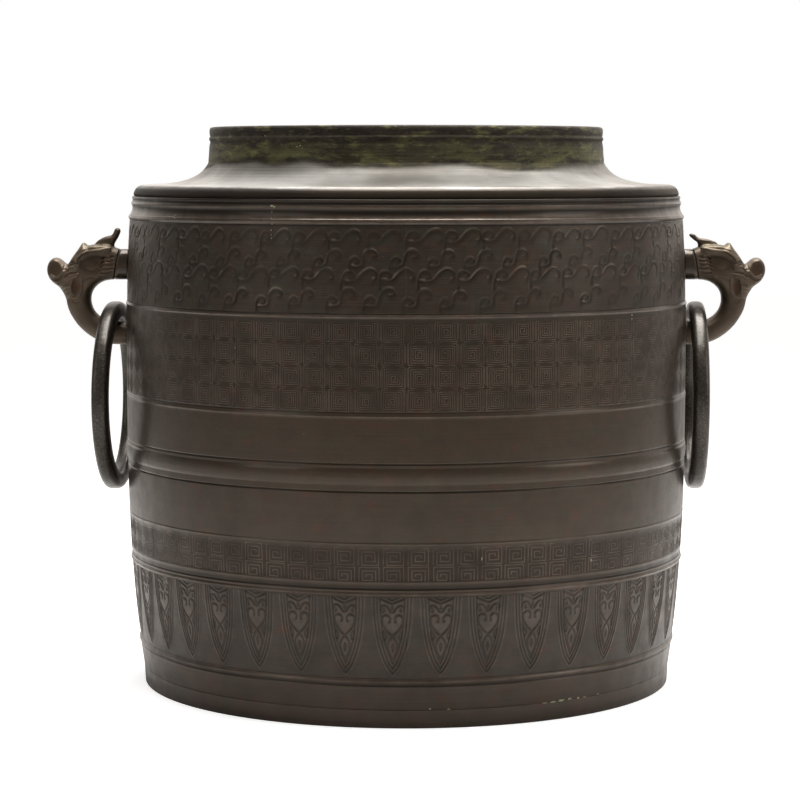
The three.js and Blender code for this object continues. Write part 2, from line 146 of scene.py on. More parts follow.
# %% Sizes of the round pieces
FOOT_TOP, FOOT_LINE, LEAF_TOP, FRET_TOP = 9.2, 23.6, 67.5, 92.3
BAND_LOW, BAND_HIGH, BAND_CREST = 118.1, 131.7, 125.6
CLOUD_LOW, CLOUD_TOP = 203.3, 249.0
SHOULDER_SEAM, SHOULDER_EDGE, NECK_ROOT, RIM = 260.4, 266.0, 278.5, 296.4
BELLY_HEIGHT, BELLY, FOOT, TOP_WALL = 180.0, 150.1, 142.0, 148.1
EDGE, NECK = 145.7, 105.4
WALL, SEAM = 4.0, 0.3


def wall_radius(z):
    """The plain wall, before any line is cast or cut into it."""
    z = np.asarray(z, float)
    below = z < BELLY_HEIGHT
    end = np.where(below, FOOT, TOP_WALL)
    reach = np.where(below, FOOT_TOP - BELLY_HEIGHT, CLOUD_TOP - BELLY_HEIGHT)
    share = np.clip((z - BELLY_HEIGHT) / reach, 0, 1)
    return BELLY - (BELLY - end) * share ** np.where(below, 3.3, 2.6)


def bump(z, middle, width, height):
    """A rounded line: raised for a positive height, cut for a negative one."""
    across = np.clip(np.abs(z - middle) / (width / 2), 0, 1)
    return height * np.cos(across * math.pi / 2) ** 1.5


def soft_step(share):
    """0 below 0 and 1 above 1, with a soft start and end between."""
    share = np.clip(share, 0, 1)
    return share * share * (3 - 2 * share)

# %% Lines cast and cut round the wall
LINES = [  # height, width, and how far it stands out
    (FOOT_LINE, 2.2, 0.6), (LEAF_TOP, 2.0, 0.6), (CLOUD_TOP, 2.0, 0.42), (CLOUD_LOW, 1.7, 0.38),
    (155.0, 1.6, 0.18), (FRET_TOP + 0.2, 1.3, 0.13), (73.4, 3.2, 0.2),
    (FOOT_LINE - 2.0, 1.4, -0.35), (BAND_LOW, 1.1, -0.4), (BAND_HIGH, 1.1, -0.4),
    (70.2, 1.2, -0.16), (247.5, 1.2, -0.4), (CLOUD_LOW + 1.3, 1.0, -0.3), (156.9, 1.1, -0.3),
]
SUNK_BANDS = [(69.6, 91.7, 0.16), (157.0, 202.2, 0.14)]
HIDDEN_BANDS = [(FOOT_LINE + 1.5, LEAF_TOP - 1.2, 1.1), (CLOUD_LOW + 1.4, 247.1, 1.1)]


def wall_face(z):
    """The wall's outside with every line, and with the ground of the patterned bands sunk."""
    radius = wall_radius(z)
    z = np.asarray(z, float)
    for middle, width, height in LINES:
        radius = radius + bump(z, middle, width, height)
    for low, high, depth in SUNK_BANDS + HIDDEN_BANDS:
        radius = radius - depth * soft_step(np.minimum(z - low, high - z) / 0.5)
    return radius


def round_band(z):
    """The half-round between the two cut lines, with a flat fillet above and below it."""
    return 0.57 * np.sqrt(np.clip(1 - ((z - BAND_CREST) / 3.9) ** 2, 0, 1))


FINE_STEP, SHORT_STEP, WIDE_STEP = 0.22, 0.8, 3.0


def wall_heights():
    """Heights to sample: close together at the lines, wide apart on the plain wall."""
    fine = [middle for middle, _, _ in LINES]
    fine += [z for low, high, _ in SUNK_BANDS + HIDDEN_BANDS for z in (low, high)]
    fine += [BAND_CREST - 3.7, BAND_CREST + 3.7]
    heights = []
    z = FOOT_TOP + SEAM + 0.8
    while z < CLOUD_TOP + 1.2:
        heights.append(z)
        near = min(abs(z - line) for line in fine)
        wide = SHORT_STEP if near < 3 or BAND_LOW < z < BAND_HIGH else WIDE_STEP
        z += FINE_STEP if near < 1.3 else wide
    return np.array(heights)

# %% [markdown]
# ## Wall, shoulder, neck and foot
# Four castings meet in fine seams. Each is turned as its own closed solid, so that the seams are
# real and light falls into them. Above the wall's last raised line the moulding is a hollow with
# two fine lines, and the shoulder then turns over a round edge and sweeps up to the neck.

# %% Turn the wall
def rounded(corner, before, after, radius):
    """Four points of a rounded corner between two straight runs of an outline."""
    corner, before, after = (np.array(p, float) for p in (corner, before, after))
    start = corner + (before - corner) / np.linalg.norm(before - corner) * radius
    end = corner + (after - corner) / np.linalg.norm(after - corner) * radius
    return [tuple((1 - t) ** 2 * start + 2 * t * (1 - t) * corner + t * t * end)
            for t in np.linspace(0, 1, 4)]


def softened(outline, radius):
    """The same outline with every corner eased, as a casting has it."""
    points = []
    for i, corner in enumerate(outline):
        points += rounded(corner, outline[i - 1], outline[(i + 1) % len(outline)], radius)
    return points


heights = wall_heights()
MOULDING = 146.7  # its middle radius
moulding = [
    (TOP_WALL - 0.25, 250.1), (147.4, 250.8), (146.9, 251.8), (146.5, 252.8), (146.35, 253.8),
    (146.4, 254.6), (146.7, 255.4), (146.95, 256.0), (146.95, 256.5), (146.7, 257.0),
    (146.3, 257.5), (146.15, 258.0), (146.25, 258.5), (146.5, 258.95), (146.5, 259.35),
    (146.3, 259.7), (EDGE, 260.05),
]
wall_inside = [
    (EDGE - WALL, SHOULDER_SEAM - SEAM), (TOP_WALL - WALL, CLOUD_TOP),
    *((float(wall_radius(z)) - WALL, z) for z in range(240, 20, -20)),
    (float(wall_radius(9.5)) - WALL, FOOT_TOP + 0.12),
]
wall_outside = [(float(wall_radius(9.5)) - inward, FOOT_TOP + up)
                for inward, up in ((0.12, 0.12), (0.03, 0.4))]
wall_outside += [(float(wall_face(z) + round_band(z)), float(z)) for z in heights]
stands_out = [float(wall_face(z) - wall_radius(z)) for z in heights]
# Painted light and shade: the finish darkens what lies below the wall, as dirt and painted shade,
# and lightens what stands out, as wear and painted highlight. The moulding's ridges and coves are
# painted the same way, and the lower fret's ground is counted deeper so that it is painted darker
# still.
heights_for_wear_and_shade = [0.0, 0.0]  # what the finish reads as height; the lower fret's ground counts as deeper
heights_for_wear_and_shade += [rise * 1.7 if LEAF_TOP + 1.5 < z < FRET_TOP - 0.3 else rise
               for rise, z in zip(stands_out, heights)]
heights_for_wear_and_shade += [radius - MOULDING for radius, _ in moulding] + [0.0] * len(wall_inside)
wall = turned("wall", wall_outside + moulding + wall_inside, 360, relief=heights_for_wear_and_shade)

# %% Turn the shoulder
def shoulder_top(radius):
    """Height of the hollow-swept top: a slow rise all the way in and a steep one at the neck."""
    inward = (EDGE - radius) / (EDGE - NECK)
    rise = NECK_ROOT - SHOULDER_EDGE
    return SHOULDER_EDGE + rise * (0.6 * inward ** 3 + 0.4 * inward ** 12)


drop = SHOULDER_EDGE - SHOULDER_SEAM
edge_turn = [math.radians(a) for a in range(6, 90, 6)]
rounded_edge = [(EDGE - drop * (1 - math.cos(a)), SHOULDER_EDGE - drop * (1 - math.sin(a)))
                for a in edge_turn]
inner_end = NECK + 0.45
sweep = [inner_end + (EDGE - drop - inner_end) * (1 - i / 40) ** 1.8 for i in range(41)]
shoulder_outline = [
    (EDGE - 0.2, SHOULDER_SEAM), *rounded_edge, *((r, shoulder_top(r)) for r in sweep),
    (inner_end, NECK_ROOT), (101.6, NECK_ROOT), (101.6, 271.9), (110.8, 267.2), (125.5, 262.3),
    (138.4, 261.4), (138.4, 258.4), (141.4, 258.4), (141.4, SHOULDER_SEAM),
]
shoulder = turned("shoulder_sweep", shoulder_outline)

# %% Turn the neck collar
neck_foot = NECK_ROOT + 0.02
bead_and_lip = [
    (0.4, 279.2), (0.25, 280.6), (0.1, 282.6), (0.0, 284.5), (-0.1, 286.0), (-0.35, 287.4),
    (-0.6, 288.6), (-0.5, 289.1), (-0.15, 289.5), (0.0, 290.0), (0.0, 290.4), (-0.2, 290.8),
    (-0.5, 291.2), (-0.55, 291.7), (-0.35, 292.3), (-0.25, 293.6), (-0.25, 294.8), (-0.45, 295.6),
    (-0.9, 296.15), (-1.8, RIM),
]
neck_outline = [
    (101.3, neck_foot - 6), (101.3, neck_foot), (inner_end, neck_foot),
    *((NECK + out, up) for out, up in bead_and_lip), (99.9, RIM), (98.9, 296.0), (98.5, 295.0),
    (98.5, neck_foot - 6),
]
neck = turned("neck", neck_outline)

# %% Turn the foot and the base plate
foot_corners = [
    (FOOT - 0.5, 0), (FOOT, FOOT_TOP), (137.7, FOOT_TOP), (137.7, 12.2), (134.1, 12.2), (134.1, 5.0),
    (128.6, 5.0), (128.6, 0),
]
foot = turned("foot", softened(foot_corners, 0.22))
low_corner, high_corner = (133.8, 5.3), (133.8, 8.7)
plate_outline = [
    (0, 5.3), *rounded(low_corner, (0, 5.3), high_corner, 0.4),
    *rounded(high_corner, low_corner, (0, 8.7), 0.4), (90, 8.7), (45, 8.7), (0, 8.7),
]
plate = turned("bottom_plate", plate_outline, 96)

# %% [markdown]
# ## Cast patterns as strips of wall
# The cloud curls and the leaf blades are carved forms with soft edges, so they are made as a fine
# sheet of points, each moved in or out by the drawn pattern. A stroke is a smooth curve, and a
# point's depth comes from its distance to the nearest stroke. The result is a real surface that
# catches light from any side.

# %% Curves and distances
def smooth_curve(points, step=0.35):
    """A Catmull-Rom curve through points, sampled about every step millimetres."""
    points = [np.array(p, float) for p in points]
    ends = [2 * points[0] - points[1]] + points + [2 * points[-1] - points[-2]]
    samples = []
    for a, b, c, d in zip(ends, ends[1:], ends[2:], ends[3:]):
        count = max(2, int(np.linalg.norm(c - b) / step))
        for t in np.arange(count) / count:
            samples.append(0.5 * (2 * b + (c - a) * t + (2 * a - 5 * b + 4 * c - d) * t ** 2
                                  + (3 * b - a - 3 * c + d) * t ** 3))
    samples.append(points[-1])
    return np.array(samples)


FAR = 1e9


def along_runs(across, up, stroke):
    """For each straight run of a polyline: its start, its way, and how far along each point lies."""
    for a, b in zip(stroke[:-1], stroke[1:]):
        run = b - a
        share = ((across - a[0]) * run[0] + (up - a[1]) * run[1]) / max(run @ run, 1e-12)
        yield a, run, np.clip(share, 0, 1)


def stroke_distance(across, up, stroke):
    """Distance from every point to a polyline."""
    nearest = np.full(across.shape, FAR)
    for a, run, share in along_runs(across, up, stroke):
        gap = np.hypot(across - a[0] - share * run[0], up - a[1] - share * run[1])
        nearest = np.minimum(nearest, gap)
    return nearest


def profile(distance, half_width, softness=1.6):
    """1 on the middle line of a stroke, falling to 0 at half_width with a soft shoulder."""
    share = np.clip(distance / half_width, 0, 1)
    return (1 - share ** softness) ** 2

# %% A strip of wall from a drawn pattern
STRIP_DEPTH = 1.8  # from the ground of the pattern to the strip's back
SUNK_EDGE, EDGE_RUN = 0.9, 0.7  # how deep the upper and lower edges dive, and over what height


def pattern_strip(name, low, high, columns, rows, pattern, ground, parts):
    """Closed strips round the wall, with their faces moved by pattern(across, up)."""
    middle_radius = float(wall_radius((low + high) / 2))
    z = np.linspace(low, high, rows)
    azimuth = np.arange(columns) * 2 * math.pi / columns
    up, turn = np.meshgrid(z, azimuth, indexing="ij")
    relief = pattern(turn * middle_radius, up, middle_radius)
    edge = soft_step(np.minimum(up - low, high - up) / EDGE_RUN)
    radius = wall_radius(up) - ground + relief * edge - (1 - edge) * SUNK_EDGE
    pieces = []
    for part in range(parts):
        first, last = part * columns // parts, (part + 1) * columns // parts
        pick = np.arange(first, last + 1) % columns
        rim = np.ix_([rows - 1, 0], pick)
        face = place(radius[:, pick], turn[:, pick], up[:, pick])
        back = place(wall_radius(up[rim]) - ground - STRIP_DEPTH, turn[rim], up[rim])
        points = np.concatenate([face, back])
        level = np.concatenate([relief[:, pick], np.zeros((2, len(pick)))])
        quads = grid_faces(rows + 2, len(pick), close_rows=True, close_columns=False)
        piece = surface(f"{name}_{part + 1}", points.reshape(-1, 3), quads, level.ravel())
        close_ends(piece, rows + 2, len(pick))
        pieces.append(piece)
    print(name, sum(len(p.data.polygons) for p in pieces), "faces")
    return pieces


def close_ends(piece, rows, columns):
    """Fills the two cut ends of a strip."""
    work = bmesh.new()
    work.from_mesh(piece.data)
    work.verts.ensure_lookup_table()
    for column, turn in ((0, 1), (columns - 1, -1)):
        loop = [work.verts[row * columns + column] for row in range(rows)][::turn]
        work.faces.new(loop).smooth = False
    work.to_mesh(piece.data)
    work.free()

# %% [markdown]
# ## The cloud band
# Four rows of hand-cut curls run round the upper wall: a small hook with a tail, then a slanting
# line that rises into a wider arch. Every second row is set half a step along and curls tighter.
# A little seeded waywardness in place, size and depth keeps the hand of the mould cutter.

# %% Draw the cloud curls
BIG_HOOK = [
    (0, -5.2), (0.1, -2.2), (0.4, 0.8), (1.7, 3.1), (3.9, 3.6), (5.7, 2.6), (5.7, 0.9), (4.4, 0.7),
]
BIG_ARCH = [
    (0.5, -0.9), (3.0, -1.4), (6.0, -1.1), (8.4, 0.8), (10.6, 3.1), (13.2, 4.5), (15.7, 4.2),
    (17.2, 2.5), (17.0, 0.2), (15.9, -0.7),
]
SMALL_HOOK = [
    (0, -4.4), (0.1, -1.8), (1.0, 0.7), (2.9, 1.6), (4.6, 0.8), (4.6, -0.7), (3.2, -1.1),
]
SMALL_ARCH = [
    (0.7, -2.8), (3.4, -2.9), (6.0, -2.1), (7.2, 0.2), (7.8, 3.0), (9.4, 4.9), (12.0, 5.3),
    (13.8, 4.0), (13.5, 2.3), (11.9, 2.1),
]
CURLS_ROUND, CURL_REACH, CLOUD_MIDDLE = 50, 2.4, 226
CLOUD_ROWS = [(240.6, BIG_HOOK, BIG_ARCH, 0.0), (230.0, SMALL_HOOK, SMALL_ARCH, 0.55),
              (222.0, BIG_HOOK, BIG_ARCH, 0.3), (211.0, SMALL_HOOK, SMALL_ARCH, 0.9)]


def cloud_strokes(chance):
    """Every stroke of the band, as (points, half width, depth)."""
    girth = 2 * math.pi * float(wall_radius(CLOUD_MIDDLE))
    pitch = girth / CURLS_ROUND
    strokes = []
    for height, hook, arch, offset in CLOUD_ROWS:
        for i in range(CURLS_ROUND):
            across = (i + offset + chance.uniform(-0.04, 0.04)) * pitch
            up = height + chance.uniform(-0.5, 0.5)
            size = chance.uniform(0.9, 1.06)
            lean = chance.uniform(-0.12, 0.12)
            depth = chance.choice((0.1, 0.18, 0.26, 0.34)) + chance.uniform(0, 0.06)
            for line in (hook, arch):
                points = [(across + x * size + lean * y, up + y * size + chance.uniform(-0.2, 0.2))
                          for x, y in line]
                strokes.append((smooth_curve(points, 0.7), chance.uniform(0.8, 1.15), depth))
    return strokes


def cloud_pattern(across, up, radius):
    """Cut curls, a hollow under each and the fine level lines of the ground."""
    turn = across / radius
    relief = 0.06 * np.sin(up * 2 * math.pi / 1.15 + 0.8 * np.sin(turn * 31))
    relief = relief * (0.5 + 0.5 * np.sin(turn * 55 + up * 0.6) * np.sin(turn * 16))
    step = across[0, 1] - across[0, 0]
    columns = across.shape[1]
    for points, half_width, depth in cloud_strokes(random.Random(11)):
        low, high = points.min(axis=0) - CURL_REACH, points.max(axis=0) + CURL_REACH
        span = np.arange(int(low[0] / step), int(high[0] / step) + 1)
        rows = np.where((up[:, 0] > low[1]) & (up[:, 0] < high[1]))[0]
        if len(rows) == 0:
            continue
        here, height = np.meshgrid(span * step, up[rows, 0])
        gap = stroke_distance(here, height, points)
        under = stroke_distance(here, height + 1.0, points)
        above = stroke_distance(here + 0.35, height - 1.15, points)
        faded = np.sin(here * 0.31 + height * 0.23) * np.sin(height * 0.41 - here * 0.17)
        faded = depth * (0.62 + 0.38 * faded)
        cut = -0.85 * faded * profile(gap, half_width) - 0.12 * profile(under, 1.9)
        lip = 0.6 * faded * profile(above, 0.8)
        pick = np.ix_(rows, span % columns)
        lip = np.where(cut > -0.05, lip, 0)
        relief[pick] = np.minimum(relief[pick], relief[pick] * 0.4 + cut) + lip
    return relief


cloud_band = pattern_strip("cloud_band", CLOUD_LOW + 1.0, 247.5, 2300, 124, cloud_pattern, 0.35, 4)

# %% [markdown]
# ## The band of hanging leaves
# Thirty-nine pointed blades hang from a raised line and reach down to the foot. Each has three
# outlines one inside the other, and in the field a heart of two curls, a lozenge and small
# triangles. One blade is drawn once and repeated, since the founder's mould did the same.

# %% Draw one blade
BLADES = 39
BLADE_TURN = 6.7 - 360 / BLADES / 2 - 0.1  # degrees from the front to the first gap
RIBS, GROOVES = (0.45, 2.05, 3.65), (1.25, 2.85, 4.4)  # how far in from the blade's edge
BLADE_EDGE = np.array([  # half width and height, from the tip up
    (0.0, 26.2), (1.3, 27.5), (2.5, 29), (4.4, 32), (6.1, 36), (7.4, 40), (8.6, 45), (9.4, 50),
    (9.9, 55), (10.2, 60), (10.5, 68),
])
BLADE_CUTS = [
    [(7.4, 66.4), (3.8, 65.0), (1.4, 63.9), (0, 63.2)],
    [(3.4, 66.8), (1.4, 65.6), (0, 65.1)],
    [(0, 63.2), (0.2, 61.4), (0.9, 60.0)],
    [(5.6, 60.0), (5.7, 61.5), (4.3, 62.4), (2.6, 61.9), (1.4, 60.4), (0.6, 59.2)],
    [(4.3, 60.6), (3.9, 59.9), (4.3, 59.3)],
    [(1.5, 54.2), (1.1, 55.8), (2.1, 57.4), (3.9, 57.5), (5.1, 56.0), (5.0, 53.5), (3.6, 50.8),
     (1.8, 48.7), (0, 47.1)],
    [(0, 47.1), (1.4, 45.2), (2.3, 42.9), (2.2, 40.2), (1.2, 37.2), (0, 34.9)],
    [(0, 42.8), (0.45, 41.4), (0, 39.4)],
    [(4.4, 49.6), (3.1, 46.8), (4.0, 45.0), (4.9, 47.4), (4.4, 49.6)],
]


def leaf_pattern(across, up, radius):
    """Relief of the whole band, from the distance to one blade's middle line."""
    pitch = 2 * math.pi * radius / BLADES
    offset = math.radians(BLADE_TURN) * radius
    side = np.mod(across - offset, pitch) - pitch / 2
    out = np.abs(side)
    gap = stroke_distance(out, up, smooth_curve(BLADE_EDGE, 1.2))
    inward = np.where(out < np.interp(up, BLADE_EDGE[:, 1], BLADE_EDGE[:, 0]), gap, -gap)
    relief = 0.04 * np.sin(up * 5.3 + 0.7 * np.sin(across / radius * 46)) * (inward < 0)
    for line in RIBS:
        relief += 0.3 * profile(np.abs(inward - line), 0.75)
    grooves = np.zeros_like(up)
    for line in GROOVES:
        grooves = np.maximum(grooves, 0.6 * profile(np.abs(inward - line), 0.6))
    relief += 0.32 * np.clip((inward - 4.5) / 0.4, 0, 1)
    for points in BLADE_CUTS:
        cut = profile(stroke_distance(out, up, smooth_curve(points, 0.8)), 1.0)
        grooves = np.maximum(grooves, cut * (inward > 4.0))
    return (relief - 0.52 * grooves) * 0.75


leaf_band = pattern_strip("leaf_band", FOOT_LINE + 0.9, LEAF_TOP - 0.5, BLADES * 76, 140,
                          leaf_pattern, 0.3, 6)

# %% [markdown]
# ## The fret bands
# Square spirals are laid as raised threads, each with its own rounded back, so they stand off the
# sunk ground as cast wire-like lines do. A thread is a small closed tube that follows the wall,
# mitred at every corner to keep its width.

# %% A raised thread that follows the wall
THREAD = [(-1.0, -0.7), (-0.66, 0.62), (0.0, 1.0), (0.66, 0.62), (1.0, -0.7)]


def threads(name, paths, base, width, height, ground, parts):
    """Closed raised lines on (across, up) paths of the wall, measured round it at radius base."""
    groups = [paths[len(paths) * k // parts:len(paths) * (k + 1) // parts] for k in range(parts)]
    pieces = []
    for number, group in enumerate(groups):
        points, quads, level, start = [], [], [], 0
        for path, rise in group:
            path = np.array(path, float)
            run = np.diff(path, axis=0)
            run = run / np.linalg.norm(run, axis=1)[:, None]
            normal = np.stack([-run[:, 1], run[:, 0]], axis=1)
            first = np.vstack([normal[:1], normal])
            second = np.vstack([normal, normal[-1:]])
            mitre = (first + second) / (1 + np.sum(first * second, axis=1))[:, None]
            for share, lift in THREAD:
                spot = path + mitre * share * width / 2
                radius = wall_radius(spot[:, 1]) - ground + lift * height * rise
                points.append(place(radius, spot[:, 0] / base, spot[:, 1]))
                level.append(np.full(len(path), lift * rise))
            tube = grid_faces(len(THREAD), len(path), close_rows=True, close_columns=False)
            quads.append(start + tube)
            start += len(THREAD) * len(path)
        piece = surface(f"{name}_{number + 1}", np.concatenate(points), np.concatenate(quads),
                        np.concatenate(level))
        cap_threads(piece)
        pieces.append(piece)
    print(name, sum(len(p.data.polygons) for p in pieces), "faces")
    return pieces


def cap_threads(piece):
    """Closes the open ends of the tubes and turns the faces outwards."""
    work = bmesh.new()
    work.from_mesh(piece.data)
    open_edges = [edge for edge in work.edges if edge.is_boundary]
    bmesh.ops.holes_fill(work, edges=open_edges, sides=len(THREAD))
    bmesh.ops.recalc_face_normals(work, faces=work.faces)
    work.to_mesh(piece.data)
    work.free()
    piece.data.set_sharp_from_angle(angle=math.radians(35))

# %% Square spirals
def square_spiral(across, up, width, height, pitch, mirror, chance):
    """One thread that starts at a lower corner and winds in to the middle."""
    left, right, low, high = -width / 2, width / 2, -height / 2, height / 2
    path = [(left, low)]
    while right - left > pitch * 0.9 and high - low > pitch * 0.6:
        path += [(left, high), (right, high), (right, low)]
        left += pitch
        if right - left < pitch * 0.9:
            break
        path.append((left, low))
        right -= pitch
        high -= pitch
        low += pitch
        if high - low < pitch * 0.5:
            break
    wobble = [(chance.uniform(-0.09, 0.09), chance.uniform(-0.09, 0.09)) for _ in path]
    way = -1 if mirror else 1
    return [(across + way * x + a, up + z + b) for (x, z), (a, b) in zip(path, wobble)]


def fret_band(name, rows, cells, width, height, pitch, thread, rise, ground, parts, seed, bars=()):
    """Rows of square spirals round the wall, with upright bars between the cells."""
    chance = random.Random(seed)
    base = float(wall_radius(np.mean(rows)))
    girth = 2 * math.pi * base
    paths = []
    for cell in range(cells):
        for number, up in enumerate(rows):
            across = (cell + 0.5) * girth / cells + chance.uniform(-0.25, 0.25)
            level = chance.uniform(0.7, 1.0)
            spiral = square_spiral(across, up + chance.uniform(-0.15, 0.15), width, height, pitch,
                                   number % 2 == 1, chance)
            paths.append((spiral, level))
            for bar in bars:
                x = across + girth / cells / 2 + bar
                low = up - height / 2 * chance.uniform(0.7, 1.05)
                high = up + height / 2 * chance.uniform(0.7, 1.05)
                paths.append(([(x, low), (x + chance.uniform(-0.12, 0.12), high)], level * 0.8))
    return threads(name, paths, base, thread, rise, ground, parts)


lower_fret = fret_band("lower_fret", (86.4, 77.1), 77, 9.9, 8.2, 1.72, 0.78, 0.16, 0.17, 2, 21)
upper_fret = fret_band("upper_fret", (196.4, 185.2, 174.0, 162.8), 73, 10.7, 10.3, 1.08, 0.58, 0.1,
                       0.15, 3, 22, (-0.45, 0.55))

# %% [markdown]
# ## The beast-head handles
# This is the pot's finest work: a loop arm rises into an arched neck and a beast's head with a
# curled-up snout, a peaked brow and one horn lying along the crown. A caster cuts such a handle as
# a thick silhouette first and rounds its edges, then models both sides. We do the same: the outline
# is drawn in the side view, a field of widths gives each place its thickness, and the skin is
# remeshed so that the points are even before the carving starts.

# %% The silhouette, in millimetres out from the axis and up from the floor
OVER_THE_HEAD = [
    (153.9, 231.4), (155.6, 232.0), (158.0, 232.9), (161.0, 233.6), (164.5, 233.9), (167.6, 233.9),
    (169.6, 233.6), (170.9, 233.3), (171.8, 233.9), (173.0, 234.8), (174.2, 234.5), (175.4, 232.8),
    (176.8, 230.8), (178.4, 228.7), (180.0, 226.4), (181.2, 224.4), (182.3, 223.2),
]
SNOUT_AND_CHIN = [
    (182.3, 223.2), (183.7, 224.2), (185.2, 225.5), (186.8, 226.5), (188.7, 226.8), (190.5, 226.1),
    (191.9, 224.6), (192.8, 222.7), (193.1, 220.6), (192.9, 218.5), (192.2, 216.5), (191.1, 214.7),
    (189.6, 213.1), (187.9, 211.9), (186.4, 210.6), (185.1, 208.6), (184.0, 206.6), (183.2, 204.6),
]
OUTER_ARM = [
    (183.2, 204.6), (182.5, 201.1), (181.3, 197.6), (179.5, 194.3), (177.4, 191.2), (174.8, 188.3),
    (171.8, 185.7), (168.4, 183.4), (164.6, 181.6), (160.4, 180.4), (156.0, 180.0), (146.0, 180.0),
]
INNER_LOOP = [
    (146.0, 192.4), (155.0, 192.4), (158.6, 192.7), (161.6, 193.4), (164.4, 194.9), (166.7, 196.8),
    (168.4, 199.2), (169.4, 202.0), (169.7, 205.0), (169.1, 208.0), (167.6, 210.6), (165.3, 212.7),
    (162.6, 214.1), (159.6, 214.8), (156.9, 215.0),
]
HORN_OUTLINE = [
    (156.9, 232.4), (156.9, 233.9), (156.0, 235.7), (154.9, 237.5), (154.1, 239.2), (153.5, 241.0),
    (154.1, 242.4), (155.5, 242.8), (156.8, 241.8), (157.6, 239.9), (158.6, 238.8), (160.9, 238.3),
    (163.3, 237.4), (165.8, 235.9), (167.3, 234.4), (167.6, 233.2), (166.6, 232.0), (162.0, 231.4),
    (156.9, 232.4),
]

# %% Widths: place, half width, how far the edge is rounded, squareness
WIDTHS = [
    (150, 186, 7.6, 6.2, 2.5), (158, 186.3, 7.5, 6.2, 2.5), (165, 188.8, 7.5, 6.2, 2.4),
    (171.5, 193.3, 7.5, 6.2, 2.4), (175.5, 199, 7.5, 6.2, 2.4), (176.6, 205, 7.6, 6.0, 2.3),
    (176.5, 211, 7.7, 5.5, 2.3), (156, 223, 8.0, 6.5, 3.0), (156, 230.5, 7.6, 6.0, 2.8),
    (160, 217.5, 8.0, 6.2, 2.8), (162, 226, 8.2, 6.0, 2.8), (168, 222, 8.5, 5.5, 2.6),
    (167, 231, 8.2, 4.6, 2.4), (173, 229.5, 8.2, 3.8, 2.3), (173.2, 233.6, 6.4, 2.6, 2.0),
    (172.6, 216.5, 8.3, 5.0, 2.4), (177.5, 226, 7.6, 3.8, 2.2), (179.6, 221.5, 7.6, 4.0, 2.2),
    (182.0, 223.2, 6.9, 3.0, 2.2), (179.2, 214.5, 7.9, 4.2, 2.3), (183, 209.5, 6.9, 4.0, 2.0),
    (183.2, 213.2, 7.6, 3.4, 2.2), (188.2, 220, 8.4, 1.9, 2.2), (188.4, 225.2, 8.2, 2.0, 2.0),
    (190.4, 216.0, 8.3, 2.0, 2.0), (184.6, 218.5, 8.0, 2.4, 2.2), (186.8, 212.8, 7.6, 2.2, 2.0),
]
HORN_WIDTHS = [
    (162.0, 231.8, 3.6, 2.6, 2.2), (165.5, 235.0, 2.2, 1.6, 2.0), (161.5, 236.0, 2.7, 1.9, 2.0),
    (157.6, 236.6, 2.6, 2.0, 2.0), (155.6, 239.8, 2.2, 1.7, 2.0), (155.2, 241.6, 2.0, 1.4, 2.0),
]


def widths_at(across, up, stations):
    """Half width, rounding and squareness at every point, smoothly mixed from the stations."""
    total = np.zeros(across.shape)
    mixed = np.zeros((3,) + across.shape)
    for out, height, *values in stations:
        weight = 1 / (((across - out) ** 2 + (up - height) ** 2) ** 1.5 + 2.0)
        total += weight
        for row, value in zip(mixed, values):
            row += weight * value
    return mixed / total

# %% Thicken a silhouette into a closed form
def inside(across, up, outline):
    """True where a point lies within a closed outline."""
    result = np.zeros(across.shape, bool)
    for (x0, z0), (x1, z1) in zip(outline, np.roll(outline, -1, axis=0)):
        if z0 != z1:
            crosses = (z0 > up) != (z1 > up)
            result ^= crosses & (across < (x1 - x0) * (up - z0) / (z1 - z0) + x0)
    return result


def nearest_point(across, up, outline):
    """The closest point of a polyline to every point given."""
    best = np.full(across.shape, FAR)
    spot = np.zeros((2,) + across.shape)
    for a, run, share in along_runs(across, up, outline):
        x, z = a[0] + share * run[0], a[1] + share * run[1]
        gap = np.hypot(across - x, up - z)
        closer = gap < best
        best[closer] = gap[closer]
        spot[0][closer], spot[1][closer] = x[closer], z[closer]
    return spot


def thickened(work, free_runs, stations, step=0.34):
    """Adds a closed form: the runs join up to its silhouette, and cuts between runs stay flat."""
    runs = [smooth_curve(run, 0.4) for run in free_runs]
    outline = np.concatenate(runs + [runs[0][:1]])
    low, high = outline.min(axis=0) - 2 * step, outline.max(axis=0) + 2 * step
    across, up = np.meshgrid(*(np.arange(a, b, step) for a, b in zip(low, high)), indexing="ij")
    within = inside(across, up, outline)
    cells = within[:-1, :-1] | within[1:, :-1] | within[:-1, 1:] | within[1:, 1:]
    used = np.zeros(across.shape, bool)
    for i, j in ((0, 0), (1, 0), (0, 1), (1, 1)):
        used[i:across.shape[0] - 1 + i, j:across.shape[1] - 1 + j] |= cells
    loose = used & ~within
    across[loose], up[loose] = nearest_point(across[loose], up[loose], outline)
    depth = np.full(across.shape, FAR)
    for run in runs:
        depth[used] = np.minimum(depth[used], stroke_distance(across[used], up[used], run))
    half, rounding, squareness = widths_at(across, up, stations)
    share = np.clip(depth / rounding, 0, 1)
    thick = half * (1 - (1 - share) ** squareness) ** (1 / squareness)
    numbers = {}
    for side in (1, -1):
        for i, j in zip(*np.nonzero(used)):
            numbers[side, i, j] = work.verts.new((across[i, j], side * thick[i, j], up[i, j]))
        for i, j in zip(*np.nonzero(cells)):
            corners = (i, j), (i + 1, j), (i + 1, j + 1), (i, j + 1)
            work.faces.new([numbers[side, a, b] for a, b in corners][::side])
    paired = {numbers[1, i, j]: numbers[-1, i, j] for i, j in zip(*np.nonzero(used))}
    for rim in [edge for edge in work.edges if edge.is_boundary and edge.verts[0] in paired]:
        a, b = rim.verts
        work.faces.new((a, b, paired[b], paired[a]))


